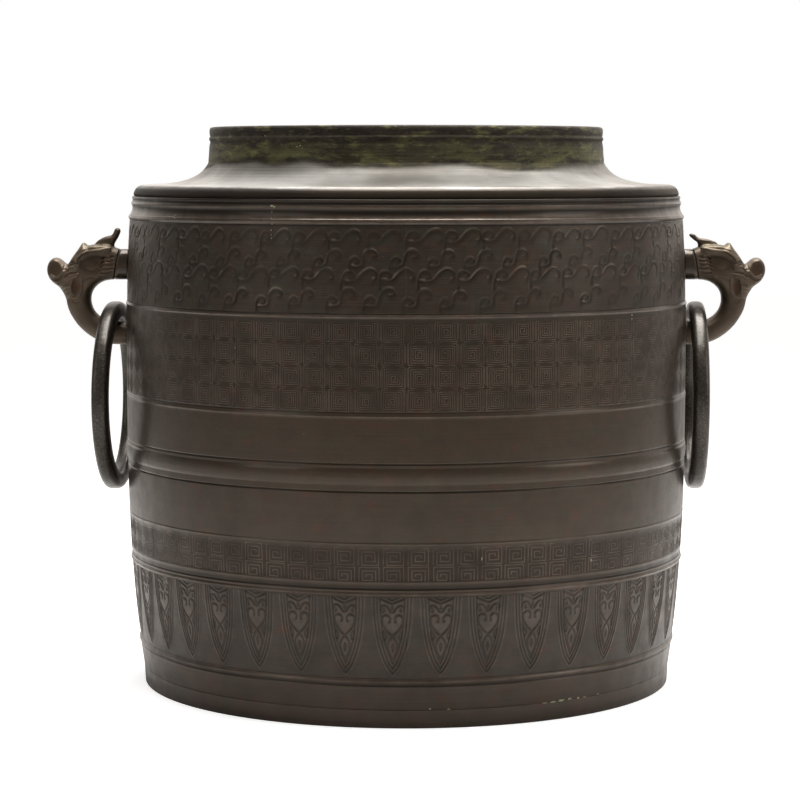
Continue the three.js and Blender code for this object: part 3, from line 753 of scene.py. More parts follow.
def head_blank():
    """The uncarved handle: the long silhouette and the horn."""
    work = bmesh.new()
    thickened(work, (OVER_THE_HEAD[:-1] + SNOUT_AND_CHIN[:-1] + OUTER_ARM, INNER_LOOP), WIDTHS)
    thickened(work, (HORN_OUTLINE,), HORN_WIDTHS, 0.25)
    bmesh.ops.remove_doubles(work, verts=work.verts, dist=0.02)
    bmesh.ops.recalc_face_normals(work, faces=work.faces)
    return work

# %% [markdown]
# The carving is a list of hollows and swellings with soft edges, and of fine strokes. The big forms
# do most of the work: the deep hollow of the eye under the crown, the dished side of the snout and
# the pit at the corner of the mouth. The strokes are shallow, because the photograph shows worn
# edges, not engraving.

# %% Hollows and swellings
EYE_HOLLOW = [
    (160.6, 229.0), (165.0, 229.1), (169.5, 228.7), (173.2, 227.0), (175.4, 224.6), (175.0, 221.6),
    (171.6, 219.2), (167.6, 218.4), (164.4, 219.6), (162.6, 223.0), (160.6, 226.4),
]
CROWN_SIDE = [
    (158.4, 230.2), (164.0, 230.0), (169.0, 230.0), (173.4, 228.6), (176.4, 226.0), (178.4, 226.6),
    (176.4, 230.4), (174.2, 233.8), (171.2, 233.6), (166.0, 234.4), (158.4, 233.4),
]
SNOUT_DISH = [
    (188.2, 225.2), (190.4, 224.2), (191.4, 221.6), (190.8, 218.9), (188.6, 217.9), (186.2, 218.8),
    (185.2, 221.2), (186.0, 223.9),
]
MOUTH_PIT = [
    (176.0, 215.6), (177.6, 214.9), (178.4, 212.0), (178.2, 208.8), (177.0, 206.9), (175.9, 208.6),
    (175.2, 212.0),
]
EYEBALL = [
    (166.3, 223.3), (168.2, 224.9), (170.7, 224.2), (171.3, 222.4), (169.2, 220.9), (166.9, 221.5),
]
LIP = [
    (175.6, 218.9), (179.4, 218.2), (182.8, 216.0), (185.8, 213.4), (188.6, 212.9), (187.2, 211.2),
    (183.4, 212.4), (179.4, 215.0), (175.8, 216.4),
]
CHEEK = [
    (174.8, 222.6), (177.8, 223.4), (180.8, 222.4), (182.0, 219.8), (179.6, 219.0), (176.0, 219.8),
]
BEARD = [
    (179.4, 212.4), (183.6, 211.4), (184.8, 208.4), (182.0, 205.4), (179.6, 207.0),
]
FORMS = [  # outline, height (a minus is a hollow), softness of the edge
    (EYE_HOLLOW, -0.7, 4.2), (CROWN_SIDE, 0.55, 0.9), (SNOUT_DISH, -0.5, 3.8),
    (MOUTH_PIT, -0.7, 2.8), (EYEBALL, 0.15, 2.6), (LIP, 0.65, 1.0), (CHEEK, 0.55, 1.1),
    (BEARD, 0.5, 1.0),
]

# %% Strokes and rust
STROKES = [  # points, half width, height
    ([(158.6, 231.9), (163, 231.0), (168.6, 230.4), (172.4, 229.6), (175.2, 227.7), (177.2, 225.4),
      (178.6, 225.6), (179.0, 226.8)], 0.75, 0.75),
    ([(160.5, 232.9), (165, 232.2), (170.2, 231.8), (173.2, 230.6)], 0.6, 0.5),
    ([(159.6, 232.3), (164, 231.6), (169.4, 231.1), (172.8, 230.2)], 0.45, -0.4),
    ([(173.8, 232.0), (176.0, 229.6), (178.2, 227.9), (180.2, 225.2)], 0.6, 0.35),
    ([(162.0, 227.6), (166.5, 228.1), (170.6, 227.4), (173.6, 225.4)], 1.3, -0.3),
    ([(165.2, 221.0), (168.4, 219.9), (171.6, 220.6)], 0.9, -0.2),
    ([(156.9, 227.5), (159.2, 226.8), (161.2, 227.2), (162.6, 226.4)], 0.6, -0.8),
    ([(156.9, 225.6), (159.2, 224.9), (161.4, 225.3), (163.0, 224.3)], 0.6, -0.85),
    ([(157.0, 223.6), (159.4, 222.9), (161.6, 223.3), (163.4, 222.2)], 0.6, -0.8),
    ([(157.1, 221.6), (159.6, 220.9), (162.0, 221.2), (163.8, 220.0)], 0.6, -0.75),
    ([(157.3, 219.4), (160.0, 218.8), (163.0, 218.8)], 0.55, -0.6),
    ([(157.6, 217.3), (160.6, 216.9), (164.0, 216.6)], 0.45, -0.3),
    ([(181.6, 219.4), (180.4, 220.9), (178.4, 221.3)], 0.5, -0.7),
    ([(181.5, 221.6), (180.0, 222.9), (177.8, 223.0)], 0.5, -0.7),
    ([(180.6, 223.6), (179.2, 224.8), (177.4, 224.6)], 0.5, -0.6),
    ([(175.0, 219.0), (178.4, 218.8), (181.6, 217.8), (183.2, 216.4)], 0.5, -0.55),
    ([(180.6, 218.0), (182.6, 219.6), (184.6, 218.6), (186.0, 216.9), (188.2, 216.5),
      (190.2, 217.6)], 0.6, 0.5),
    ([(183.2, 217.6), (184.8, 216.0), (187.2, 215.1), (190.0, 215.6)], 0.5, -0.4),
    ([(183.4, 216.0), (185.6, 214.4), (188.2, 213.9), (190.6, 215.0)], 0.6, 0.4),
    ([(183.0, 220.6), (183.0, 222.2), (182.4, 223.6)], 0.8, -0.6),
    ([(174.0, 215.6), (173.9, 211.6), (174.6, 207.8), (176.6, 205.6), (179.0, 205.2)], 0.6, 0.35),
    ([(179.0, 214.4), (179.4, 211.2), (179.2, 208.2)], 0.5, 0.3),
    ([(180.4, 210.9), (182.6, 210.2), (184.4, 209.0)], 0.4, -0.35),
    ([(180.2, 208.8), (182.2, 208.0), (183.4, 206.8)], 0.4, -0.3),
    ([(175.2, 203.4), (177.6, 202.9), (178.8, 204.3), (177.4, 205.1)], 0.45, -0.3),
    ([(166.8, 216.6), (170.0, 216.2), (172.6, 214.6), (173.4, 211.6)], 0.7, -0.3),
]
RUSTY = [  # out, up, size, strength
    (176.8, 211.4, 2.6, 1.0), (167.2, 221.0, 3.0, 0.45), (176.6, 217.4, 2.4, 0.4),
    (187.6, 220.6, 3.0, 0.45), (161.0, 223.0, 3.4, 0.4), (181.4, 216.8, 2.6, 0.4),
    (178.5, 204.5, 2.2, 0.45),
]

# %% Carve a head
def soft_zone(across, up, outline, softness):
    """1 well inside a closed outline, 0 outside, with a soft edge between."""
    line = smooth_curve(outline + outline[:1], 0.4)
    gap = stroke_distance(across, up, line)
    return soft_step(0.5 + np.where(inside(across, up, line), gap, -gap) / softness)


def carve(points, normals):
    """How far each point of a head moves: only on its two sides, and not along the middle."""
    facing = np.clip(np.abs(normals[:, 1]) * 1.6 - 0.25, 0, 1)
    off_middle = np.clip((np.abs(points[:, 1]) - 2.5) / 2.0, 0, 1)
    move = np.zeros(len(points))

    def cut(drawn, reach, height, shape):
        """Adds one form or stroke to the points near it."""
        low, high = np.min(drawn, axis=0) - reach, np.max(drawn, axis=0) + reach
        near = np.all((points[:, [0, 2]] > low) & (points[:, [0, 2]] < high), axis=1)
        shaped = shape(points[near, 0], points[near, 2])
        move[near] += height * shaped * facing[near] * off_middle[near]

    for outline, height, softness in FORMS:
        cut(outline, 1.5, height, lambda x, z: soft_zone(x, z, outline, softness))
    for stroke, half_width, height in STROKES:
        line = smooth_curve(stroke, 0.5)
        cut(stroke, half_width + 0.6, height,
            lambda x, z: profile(stroke_distance(x, z, line), half_width * 1.4))
    return move

# %% Melt a rough form into an even skin
def read_points(mesh, what):
    """All point places or normals of a mesh as one array."""
    values = np.empty(len(mesh.vertices) * 3, np.float32)
    mesh.vertices.foreach_get(what, values)
    return values.reshape(-1, 3).astype(float)


def remeshed(name, work, voxel, rounds):
    """A mesh object with an even skin from overlapping closed forms."""
    mesh = bpy.data.meshes.new(name)
    work.to_mesh(mesh)
    work.free()
    made = put(name, mesh)
    melt = made.modifiers.new("melt", "REMESH")
    melt.mode = "VOXEL"
    melt.voxel_size = voxel
    ease = made.modifiers.new("ease", "SMOOTH")
    ease.factor = 0.5
    ease.iterations = rounds
    melted = made.evaluated_get(bpy.context.evaluated_depsgraph_get())
    made.data = bpy.data.meshes.new_from_object(melted)
    made.modifiers.clear()
    return made

# %% Where a handle meets the pot
HANDLE_OUT, SNOUT_REACH = 149.97, 193.03
STUB_UP, STUB_LENGTH, STUB_SLANT = 223.2, 5.4, 0.18
JOINT_LOW, JOINT_HIGH = 214, 233.5
CROWN_UP, HORN_ROOT = 232.5, 235.0
LOWERED, LAID_BACK = 0.6, 0.22  # shares of the right horn's height
LOOP_MIDDLE, LOOP_REACH = (163.5, 209.0), 14
SIDES = (("right", 1), ("left", -1))


def fit_to_pot(points):
    """Trims a handle at the slanted joint, on the wall's curve and at the snout."""
    out, across, up = points.T
    joint = HANDLE_OUT + STUB_LENGTH + SEAM - STUB_SLANT * (up - STUB_UP)
    behind = (up > JOINT_LOW) & (up < JOINT_HIGH) & (out < joint)
    out[behind] = joint[behind]
    seat = wall_radius(up) + SEAM
    short = np.hypot(out, across) < seat
    out[short] = np.sqrt(np.clip(seat[short] ** 2 - across[short] ** 2, 0, None))
    out[:] = np.minimum(out, SNOUT_REACH)


def stains(places, normals):
    """Strength of the rust in the hollows and of the olive on the crown and inside the loop."""
    out, _, up = places.T
    rust = np.zeros(len(places))
    for x, z, size, amount in RUSTY:
        rust = np.maximum(rust, amount * np.exp(-((out - x) ** 2 + (up - z) ** 2) / size ** 2))
    below_horn = np.clip((HORN_ROOT + 1 - up) / 1.2, 0, 1)
    crown = np.clip(normals[:, 2] * 1.3 + (up - CROWN_UP) * 0.35, 0, 1) * below_horn
    into_loop = LOOP_MIDDLE - places[:, [0, 2]]
    span = np.linalg.norm(into_loop, axis=1)
    facing = np.sum(into_loop * normals[:, [0, 2]], axis=1) / np.maximum(span, 1e-6)
    crown = np.maximum(crown, 0.6 * np.clip(facing * 2 - 0.6, 0, 1) * (span < LOOP_REACH))
    return rust * np.clip(np.abs(normals[:, 1]) * 1.5, 0, 1), crown

# %% Carve a handle and set it on its side of the pot
def handle_piece(name, side):
    """One handle, made on the +X side and turned to its own."""
    made = remeshed(name, head_blank(), 0.4, 5)
    places, normals = read_points(made.data, "co"), read_points(made.data, "normal")
    move = carve(places, normals)
    rust, crown = stains(places, normals)
    for zone, values in (("relief", move), ("rust", rust), ("crown", crown)):
        add_values(made.data, zone, values)
    points = places + normals * move[:, None]
    fit_to_pot(points)
    if side > 0:  # the right horn lies lower than the left one
        horn = places[:, 2] > HORN_ROOT
        points[horn, 0] -= (points[horn, 2] - HORN_ROOT) * LAID_BACK
        points[horn, 2] = HORN_ROOT + (points[horn, 2] - HORN_ROOT) * LOWERED
    points[:, :2] *= side
    made.data.vertices.foreach_set("co", (points * MM).ravel().astype(np.float32))
    made.data.update()
    made.data.shade_smooth()
    print(name, len(made.data.polygons), "faces")
    return made


handles = [handle_piece(f"{label}_beast_handle", side) for label, side in SIDES]

# %% [markdown]
# ## Sockets, rivets and loose rings
# Behind each head a plain stub stands off the wall, and two rivets peened over inside hold the
# casting. The rings are smooth from years of handling, with a rounded square section that keeps a
# flat outer face.

# %% Sockets
def squarish(angle, power, half_width, half_height):
    """A point of a rounded square, across and up."""
    def stretch(value):
        return math.copysign(abs(value) ** (2 / power), value)
    return stretch(math.sin(angle)) * half_width, stretch(math.cos(angle)) * half_height


def socket_piece(name, side):
    """The stub between the wall and the slanted joint behind a head."""
    work = bmesh.new()
    loops = []
    for out, slant, size in ((-3.0, 0.0, 1.0), (1.2, 0.04, 1.0), (3.6, 0.12, 1.0), (5.0, 0.17, 1.0),
                             (STUB_LENGTH, STUB_SLANT, 0.97)):
        loop = []
        for i in range(64):
            across, up = squarish(2 * math.pi * i / 64, 2.8, 8 * size, 8.2 * size)
            x = HANDLE_OUT + out - slant * up
            if out < 0:
                x = math.sqrt((float(wall_radius(STUB_UP + up)) + SEAM) ** 2 - across ** 2)
            loop.append(work.verts.new((side * x * MM, side * across * MM, (STUB_UP + up) * MM)))
        loops.append(loop)
    for low, high in zip(loops[:-1], loops[1:]):
        for i in range(64):
            j = (i + 1) % 64
            work.faces.new((low[i], low[j], high[j], high[i]))
    work.faces.new(loops[0])
    work.faces.new(loops[-1])
    bmesh.ops.recalc_face_normals(work, faces=work.faces)
    mesh = bpy.data.meshes.new(name)
    work.to_mesh(mesh)
    work.free()
    mesh.shade_smooth()
    mesh.set_sharp_from_angle(angle=math.radians(40))
    return put(name, mesh)


sockets = [socket_piece(f"{label}_stub", side) for label, side in SIDES]

# %% Rivets
RIVETS = (("upper", STUB_UP, 162.37), ("lower", 186.2, 156.97))  # height, reach of the shank
HEAD_SIZE, HEAD_RISE, SHANK = 7.0, 2.6, 3.4
HEAD_DROP = 0.46  # room for the round wall behind the flat head


def lathe_along_x(name, outline, centre, side, steps, tilt=0.0):
    """A closed outline of (radius, along) turned round a line that runs along X."""
    radius, angle, along = lathe_grid(outline, steps)
    across, up = radius * np.sin(angle), radius * np.cos(angle)
    x = along * math.cos(tilt) - across * math.sin(tilt)
    y = along * math.sin(tilt) + across * math.cos(tilt)
    points = np.stack([side * (centre[0] + x), side * y, centre[1] + up], axis=-1).reshape(-1, 3)
    made = surface(name, points, grid_faces(len(outline), steps, close_rows=True))
    weld(made)
    return made


def rivet_piece(name, side, height, end):
    """A rivet with its domed head lying on the inside of the wall."""
    nearest = min(float(wall_radius(height + reach)) for reach in (HEAD_SIZE, -HEAD_SIZE))
    seat = nearest - WALL - HEAD_DROP - SEAM
    dome = [(HEAD_SIZE * math.cos(a), -HEAD_RISE * math.sin(a))
            for a in np.linspace(math.pi / 2, 0, 9)[1:]]
    outline = [(0.0, -HEAD_RISE), *dome, (SHANK, 0.0), (SHANK, end - seat), (0.0, end - seat)]
    return lathe_along_x(name, outline, (seat, height), side, 32)


rivets = [(label, level, rivet_piece(f"{label}_{level}_pin", side, height, end))
          for label, side in SIDES for level, height, end in RIVETS]

# %% The loose rings
RING_MIDDLE, RING_DEPTH, RING_WIDTH = 45.6, 10.0, 8.8
RING_PLACES = {  # how far out from the axis, and its turn in degrees
    "right": (155.9716, -1.8), "left": (156.8716, -4.3),
}

section = []
for i in range(40):
    along, across = squarish(2 * math.pi * i / 40, 3.1, RING_WIDTH / 2, RING_DEPTH / 2)
    section.append((RING_MIDDLE + across, along))
rings = []
for label, side in SIDES:
    out, turn = RING_PLACES[label]
    low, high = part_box(f"{label}_ring")
    middle = (low.z + high.z) / 2 / MM
    turn = math.radians(turn)
    ring = lathe_along_x(f"{label}_loose_ring", section, (out, middle), side, 200, turn)
    rings.append((label, ring))
    print(ring.name, "centre", round(side * out, 1), round(middle, 1))

# %% [markdown]
# ## Crusts of corrosion
# Here and there a pale green or whitish crust sits on the bronze: along the foot seam, in a thin
# run down the upper left of the wall and as single specks. Each is a low, ragged dome half sunk in
# the surface, so it casts a little shade, as real crust does.

# %% Set the crusts
CRUSTS = [  # azimuth in degrees, height, half width and half height in millimetres
    (33.2, 9.5, 2.3, 0.7), (35.3, 9.7, 1.5, 0.6), (37.5, 9.5, 0.9, 0.6), (31.2, 9.3, 1.9, 0.35),
    (29.2, 9.2, 1.6, 0.25), (39.2, 9.4, 1.5, 0.3), (43.1, 9.6, 0.8, 0.35), (4.7, 9.8, 0.7, 0.45),
    (8.5, 9.5, 0.9, 0.3), (-26.57, 256.6, 0.9, 0.6), (-26.0, 256.2, 0.7, 0.4),
    (-26.6, 253.7, 0.35, 0.4), (-26.5, 250.7, 0.3, 0.4), (-26.2, 247.9, 0.3, 0.45),
    (-26.4, 244.9, 0.3, 0.5), (-26.35, 242.6, 0.25, 0.4), (-26.3, 241.0, 0.25, 0.4),
    (-53.9, 250.3, 0.5, 0.3), (-52.8, 250.6, 0.6, 0.3), (-51.8, 249.9, 0.5, 0.25),
    (-52.2, 251.3, 0.4, 0.3), (-31.4, 285.6, 0.4, 0.4), (-30.4, 286.1, 0.5, 0.35),
    (-29.5, 284.9, 0.4, 0.4), (-30.8, 284.1, 0.4, 0.3), (-42.8, 291.1, 0.5, 0.4),
    (49.1, 201.5, 0.5, 0.7), (49.1, 199.4, 0.4, 0.8), (17.3, 221.0, 0.3, 0.3),
    (14.4, 84.9, 0.35, 0.9), (38.4, 80.1, 0.6, 0.7), (-34.2, 186.7, 0.3, 0.4),
    (-14.6, 191.6, 0.3, 0.3), (-19.4, 145.9, 0.25, 0.25),
]


def skin(z):
    """Radius of the pot's outside at a height, near enough to set a crust on."""
    if z > NECK_ROOT:
        return NECK - 0.2
    if z > 250:
        radii, levels = zip(*moulding)
        return float(np.interp(z, levels, radii))
    return float(max(wall_face(z), wall_radius(z) - 0.3))


def crust_piece(name, spots, seed):
    """Every crust as a closed low form with a ragged outline, in one object."""
    chance = random.Random(seed)
    rounds, columns = 7, 14
    angle = np.arange(columns) * 2 * math.pi / columns
    points, quads = [], []
    for number, (azimuth, height, wide, tall) in enumerate(spots):
        ragged = np.array([chance.uniform(0.6, 1.2) for _ in range(columns)])
        for slope in np.linspace(0, math.pi, rounds):
            share = math.sin(slope) * ragged
            out = skin(height) + 0.2 * math.cos(slope)
            points.append(place(out, math.radians(azimuth) + np.sin(angle) * share * wide / out,
                                height + np.cos(angle) * share * tall))
        quads.append(grid_faces(rounds, columns) + number * rounds * columns)
    made = surface(name, np.concatenate(points), np.concatenate(quads))
    weld(made)
    print(name, len(spots), "crusts")
    return made


crusts = crust_piece("corrosion_crusts", CRUSTS, 31)

# %% [markdown]
# ## Bronze under an old patina
# Old bronze is not shiny metal and not paint, but metal under a thin brown skin. So the finish mixes
# a dark metallic base with cloudy colour, keeps hollows darker and redder, as dirt and as painted
# shade, makes high lines lighter, as wear and as painted highlight, and varies the polish. The
# carved surfaces carry their own height in an attribute, which drives the painted shade in the
# hollows and the wear and painted highlight on the high lines.

# %% Materials from nodes
def paint(red, green, blue):
    """A colour as the eye reads it, 0 to 255, turned into the light values Blender works in."""
    def channel(value):
        value = value / 255
        return value / 12.92 if value <= 0.04045 else ((value + 0.055) / 1.055) ** 2.4
    return (channel(red), channel(green), channel(blue), 1.0)


def add(tree, kind, inputs=None, **options):
    """A new node with its options set; each input gets a fixed value or is joined to a socket."""
    made = tree.nodes.new("ShaderNode" + kind)
    for name, value in options.items():
        setattr(made, name, value)
    for name, value in (inputs or {}).items():
        if isinstance(value, bpy.types.NodeSocket):
            tree.links.new(value, made.inputs[name])
        else:
            made.inputs[name].default_value = value
    return made


def new_finish(name):
    """A material with nothing in it yet but its shader."""
    material = bpy.data.materials.new(name)
    material.use_nodes = True
    tree = material.node_tree
    tree.nodes.clear()
    shader = add(tree, "BsdfPrincipled")
    add(tree, "OutputMaterial", {"Surface": shader.outputs["BSDF"]})
    return material, tree, shader

# %% Reckoning with sockets
def reckon(operation, first, second):
    """One step of arithmetic on a socket and a second socket or number."""
    return add(first.id_data, "Math", {0: first, 1: second}, operation=operation).outputs["Value"]


def times(first, second):
    """Two values multiplied."""
    return reckon("MULTIPLY", first, second)


def plus(first, second):
    """Two values added."""
    return reckon("ADD", first, second)


def most(first, second):
    """The larger of two values."""
    return reckon("MAXIMUM", first, second)


def limits(value, low, high, to_low=0.0, to_high=1.0):
    """Spreads the values between low and high over a new range."""
    inputs = {"Value": value, "From Min": low, "From Max": high, "To Min": to_low, "To Max": to_high}
    return add(value.id_data, "MapRange", inputs).outputs["Result"]


def blend(share, first, second):
    """Mixes two colours; each is a colour or a socket."""
    inputs = {"Factor": share, 6: first, 7: second}
    return add(share.id_data, "Mix", inputs, data_type="RGBA").outputs[2]


def noise(spot, scale, detail=4.0, roughness=0.55, stretch=(1, 1, 1)):
    """A cloud of values in the pot's own space, optionally stretched."""
    stretched = add(spot.id_data, "Mapping", {"Vector": spot, "Scale": stretch}).outputs["Vector"]
    inputs = {"Vector": stretched, "Scale": scale, "Detail": detail, "Roughness": roughness}
    return add(spot.id_data, "TexNoise", inputs).outputs["Fac"]


def stored(tree, name):
    """The number that the mesh keeps under a name."""
    return add(tree, "Attribute", attribute_name=name).outputs["Fac"]


def ramp(value, stops):
    """Colours strung along a value from 0 to 1."""
    made = add(value.id_data, "ValToRGB", {"Fac": value})
    marks = made.color_ramp.elements
    marks.remove(marks[1])
    for position, colour in stops:
        mark = marks.new(position) if position else marks[0]
        mark.position, mark.color = position, colour
    return made.outputs["Color"]


def follow_the_pot(spot):
    """Coordinates for streaks: quick across the wall or the shoulder, slow round the pot."""
    tree = spot.id_data
    flat = add(tree, "VectorMath", {0: spot, 1: (1, 1, 0)}, operation="MULTIPLY").outputs["Vector"]
    out = add(tree, "VectorMath", {0: flat}, operation="LENGTH").outputs["Value"]
    parts = add(tree, "SeparateXYZ", {"Vector": spot}).outputs
    joined = {"X": out, "Y": times(parts["X"], 0.08), "Z": parts["Z"]}
    return add(tree, "CombineXYZ", joined).outputs["Vector"]

# %% [markdown]
# The neck is green and dull, the sweep under it polished, its light grey partly worn metal and
# partly a painted reflection of the overhead light, and the face below the rounded edge dull and
# painted dark as shade. On the real pot the neck's border wanders, because a patina grows as it
# likes.
# So its height is read through a cloud of noise, which bends it by a few millimetres, and colour
# and polish both follow the bent height.

# %% Colour and polish by height
RAGGED = (279, 283)  # heights between which the neck's fine raggedness sets in
WAVES_START, WAVES_END = (269, 276), (280.5, 286)  # and the slow waves come and go
DULL = 0.85


def by_height(height, low, high, below, above):
    """A value that goes from one number to another between two heights in millimetres."""
    return limits(height, low * MM, high * MM, below, above)


def wandering_height(spot, height, waves):
    """The height in metres, ragged on the neck; with waves it also bends at the neck's root."""
    ragged = times(plus(noise(spot, 130, 5, 0.7), -0.5), 12 * MM)
    level = plus(height, times(ragged, by_height(height, *RAGGED, 0.12, 1.0)))
    if waves:
        wave = times(plus(noise(spot, 18, 1), -0.39), 22 * MM)
        wave = times(wave, by_height(height, *WAVES_START, 0.0, 1.0))
        wave = times(wave, by_height(height, *WAVES_END, 1.0, 0.0))
        level = plus(level, wave)
    return level


def worn_bands(shader, height, level, look, polish, gleam):
    """Dulls the neck and the face below the shoulder's edge, and bares the metal of that face."""
    edge = look["dull_below"]
    dull = by_height(height, edge - 1, edge + 0.8, DULL, 0.0)
    polish = most(most(polish, dull), by_height(level, 277, 279, 0.0, 0.7))
    bared = limits(dull, 0.0, DULL, look["metal"], DULL)
    shader.id_data.links.new(bared, shader.inputs["Metallic"])
    gleam = times(gleam, limits(dull, 0.0, DULL, 1.0, 0.0))
    return polish, times(gleam, by_height(level, 276, 279, 1.0, 0.2))

# %% The bronze finish
RAMP_TOP = 300  # the height where the string of colours ends
PLAIN_LOOK = {
    "gloss": (0.36, 0.5), "metal": 0.75, "coat": 0.5, "coat_blur": 0.2, "grain": 0.5, "haze": 0.0,
    "streak": 0.0, "relief_span": (-0.45, 0.35), "depth": 0.85, "levels": (), "patches": (),
    "patch_stretch": 1.5, "zones": (), "dull_below": None,
}


def bronze_colour(tree, spot, middle, level, down, look, colours):
    """Cloudy ground and patches, hollows darkened as dirt and painted shade, high lines lightened as
    wear and painted highlight, and stained zones.
    """
    ground, cloud, hollow, worn_and_lit = (paint(*colour) for colour in colours)
    if look["levels"]:
        stops = [(height / RAMP_TOP, paint(*colour)) for height, *colour in look["levels"]]
        ground = ramp(by_height(level, 0, RAMP_TOP, 0.0, 1.0), stops)
    colour = blend(limits(noise(spot, 16, 3), 0.4, 0.62, 0.0, 0.7), ground, cloud)
    for tint, scale, start, full, share, *above in look["patches"]:
        cloudy = noise(spot, scale, 6, 0.68, stretch=(1, 1, look["patch_stretch"]))
        mask = limits(cloudy, start, full, 0.0, share)
        for lowest in above:
            mask = times(mask, by_height(level, lowest - 1.5, lowest + 1, 0.0, 1.0))
        colour = blend(mask, colour, paint(*tint))
    # Painted shade: points below the surface take the dark hollow colour, for dirt and for the shade
    # of the recesses.
    colour = blend(times(down, look["depth"]), colour, hollow)
    # Painted highlight: raised points take the light colour, for wear and for the light caught on
    # the high lines.
    up = limits(stored(tree, "relief"), 0.0, look["relief_span"][1])
    colour = blend(times(up, limits(middle, 0.0, 1.0, 0.75, 0.3)), colour, worn_and_lit)
    for zone, tint, share in look["zones"]:
        uneven = times(stored(tree, zone), limits(middle, 0, 1, share, share * 0.5))
        colour = blend(uneven, colour, paint(*tint))
    return colour


def bronze(name, *colours, **changes):
    """Patinated bronze from the colours of ground, cloud, hollow (dirt and painted shade) and high
    line (wear and painted highlight), and its look.

    A look's levels are (height in mm, colour); its patches are (colour, scale, from, to, share) and,
    for some, the height that they stay above."""
    look = {**PLAIN_LOOK, **changes}
    material, tree, shader = new_finish(name)
    spot = add(tree, "TexCoord").outputs["Object"]
    middle = limits(noise(spot, 95, 5), 0.38, 0.66)
    lines = noise(follow_the_pot(spot), 70, 5, 0.7, stretch=(12, 1, 12))
    height = add(tree, "SeparateXYZ", {"Vector": spot}).outputs["Z"]
    level = wandering_height(spot, height, look["dull_below"]) if look["levels"] else height
    down = limits(stored(tree, "relief"), 0.0, look["relief_span"][0])
    colour = bronze_colour(tree, spot, middle, level, down, look, colours)
    streaks = limits(lines, 0.3, 0.7, -look["streak"], look["streak"])
    shade = plus(plus(limits(middle, 0, 1, 0.06, -0.06), streaks), 1.0)
    shaded = add(tree, "VectorMath", {0: colour, "Scale": shade}, operation="SCALE")
    polish = limits(middle, 0, 1, *look["gloss"])
    gleam = limits(down, 0, 1, look["coat"], look["coat"] * 0.2)
    shader.inputs["Metallic"].default_value = look["metal"]
    shader.inputs["Coat Roughness"].default_value = look["coat_blur"]
    shader.inputs["Sheen Weight"].default_value = look["haze"]
    shader.inputs["Sheen Roughness"].default_value = 0.45
    if look["dull_below"]:
        polish, gleam = worn_bands(shader, height, level, look, polish, gleam)
    rough = plus(times(noise(spot, 900, 3, 0.6), 0.6), noise(spot, 260, 4))
    rough = plus(rough, times(lines, 6 * look["streak"]))
    bumps = add(tree, "Bump", {"Strength": look["grain"], "Distance": 0.2 * MM, "Height": rough})
    for socket, value in (("Base Color", shaded.outputs["Vector"]), ("Roughness", polish),
                          ("Coat Weight", gleam), ("Normal", bumps.outputs["Normal"])):
        tree.links.new(value, shader.inputs[socket])
    return material

# %% Colours of the wall, shoulder and neck
BODY_LEVELS = [  # height, then red, green and blue
    (0, 70, 55, 47), (12, 72, 58, 49), (30, 70, 58, 49), (112, 71, 59, 48), (136, 68, 56, 42),
    # Painted shade: from 262.5 to 264.9 mm the face under the rounded edge is painted dark. From 266
    # to 276 mm the sweep is a light worn grey that also holds a painted reflection of the overhead
    # light.
    (160, 66, 53, 39), (205, 58, 49, 40), (260.2, 54, 45, 37), (262.5, 42, 34, 28),
    (264.9, 32, 26, 21), (266, 156, 155, 152), (270, 142, 141, 138), (273, 116, 115, 111),
    (276.0, 112, 110, 104), (278.6, 60, 57, 45), (280.2, 62, 59, 42), (281.6, 92, 90, 56),
    (284, 84, 82, 50), (287.5, 54, 49, 32), (289, 38, 32, 22), (290.5, 68, 61, 47),
    (293, 32, 25, 18), (298, 36, 29, 22),
]
RED_PATCH = ((86, 50, 34), 110, 0.54, 0.68, 0.5)
GREEN_PATCH = ((58, 62, 44), 75, 0.54, 0.68, 0.5)
OLIVE_PATCH = ((116, 114, 72), 90, 0.52, 0.64, 0.7, 279.5)
DARK_PATCH = ((34, 26, 18), 55, 0.5, 0.6, 0.8, 278)
PALE_PATCH = ((134, 140, 112), 260, 0.6, 0.7, 0.5, 280)

# %% The finishes
brown = bronze("brown_patina", (66, 54, 43), (60, 50, 38), (26, 20, 15), (96, 84, 74), coat=0.62,
               levels=BODY_LEVELS, patches=(RED_PATCH, GREEN_PATCH), streak=0.1)
neck_finish = bronze("neck_patina", (66, 54, 43), (62, 55, 45), (26, 20, 15), (96, 84, 74),
                     gloss=(0.34, 0.46), metal=0.45, coat=0.25, coat_blur=0.3, grain=0.8, haze=0.06,
                     levels=BODY_LEVELS, streak=0.26, patch_stretch=3.5, dull_below=264.6,
                     patches=(OLIVE_PATCH, DARK_PATCH, PALE_PATCH))
# Painted highlight: the raised lips above the curls reach the full light colour of the high lines, a
# light line along each curl's upper edge.
cloud_finish = bronze("cloud_patina", (64, 54, 45), (58, 47, 39), (22, 17, 13), (116, 104, 93),
                      gloss=(0.44, 0.58), coat=0.35, coat_blur=0.35, streak=0.14, depth=0.7,
                      grain=0.8, relief_span=(-0.4, 0.1),
                      patches=(((62, 63, 53), 70, 0.5, 0.64, 0.7),
                               ((84, 59, 42), 120, 0.55, 0.68, 0.5)))
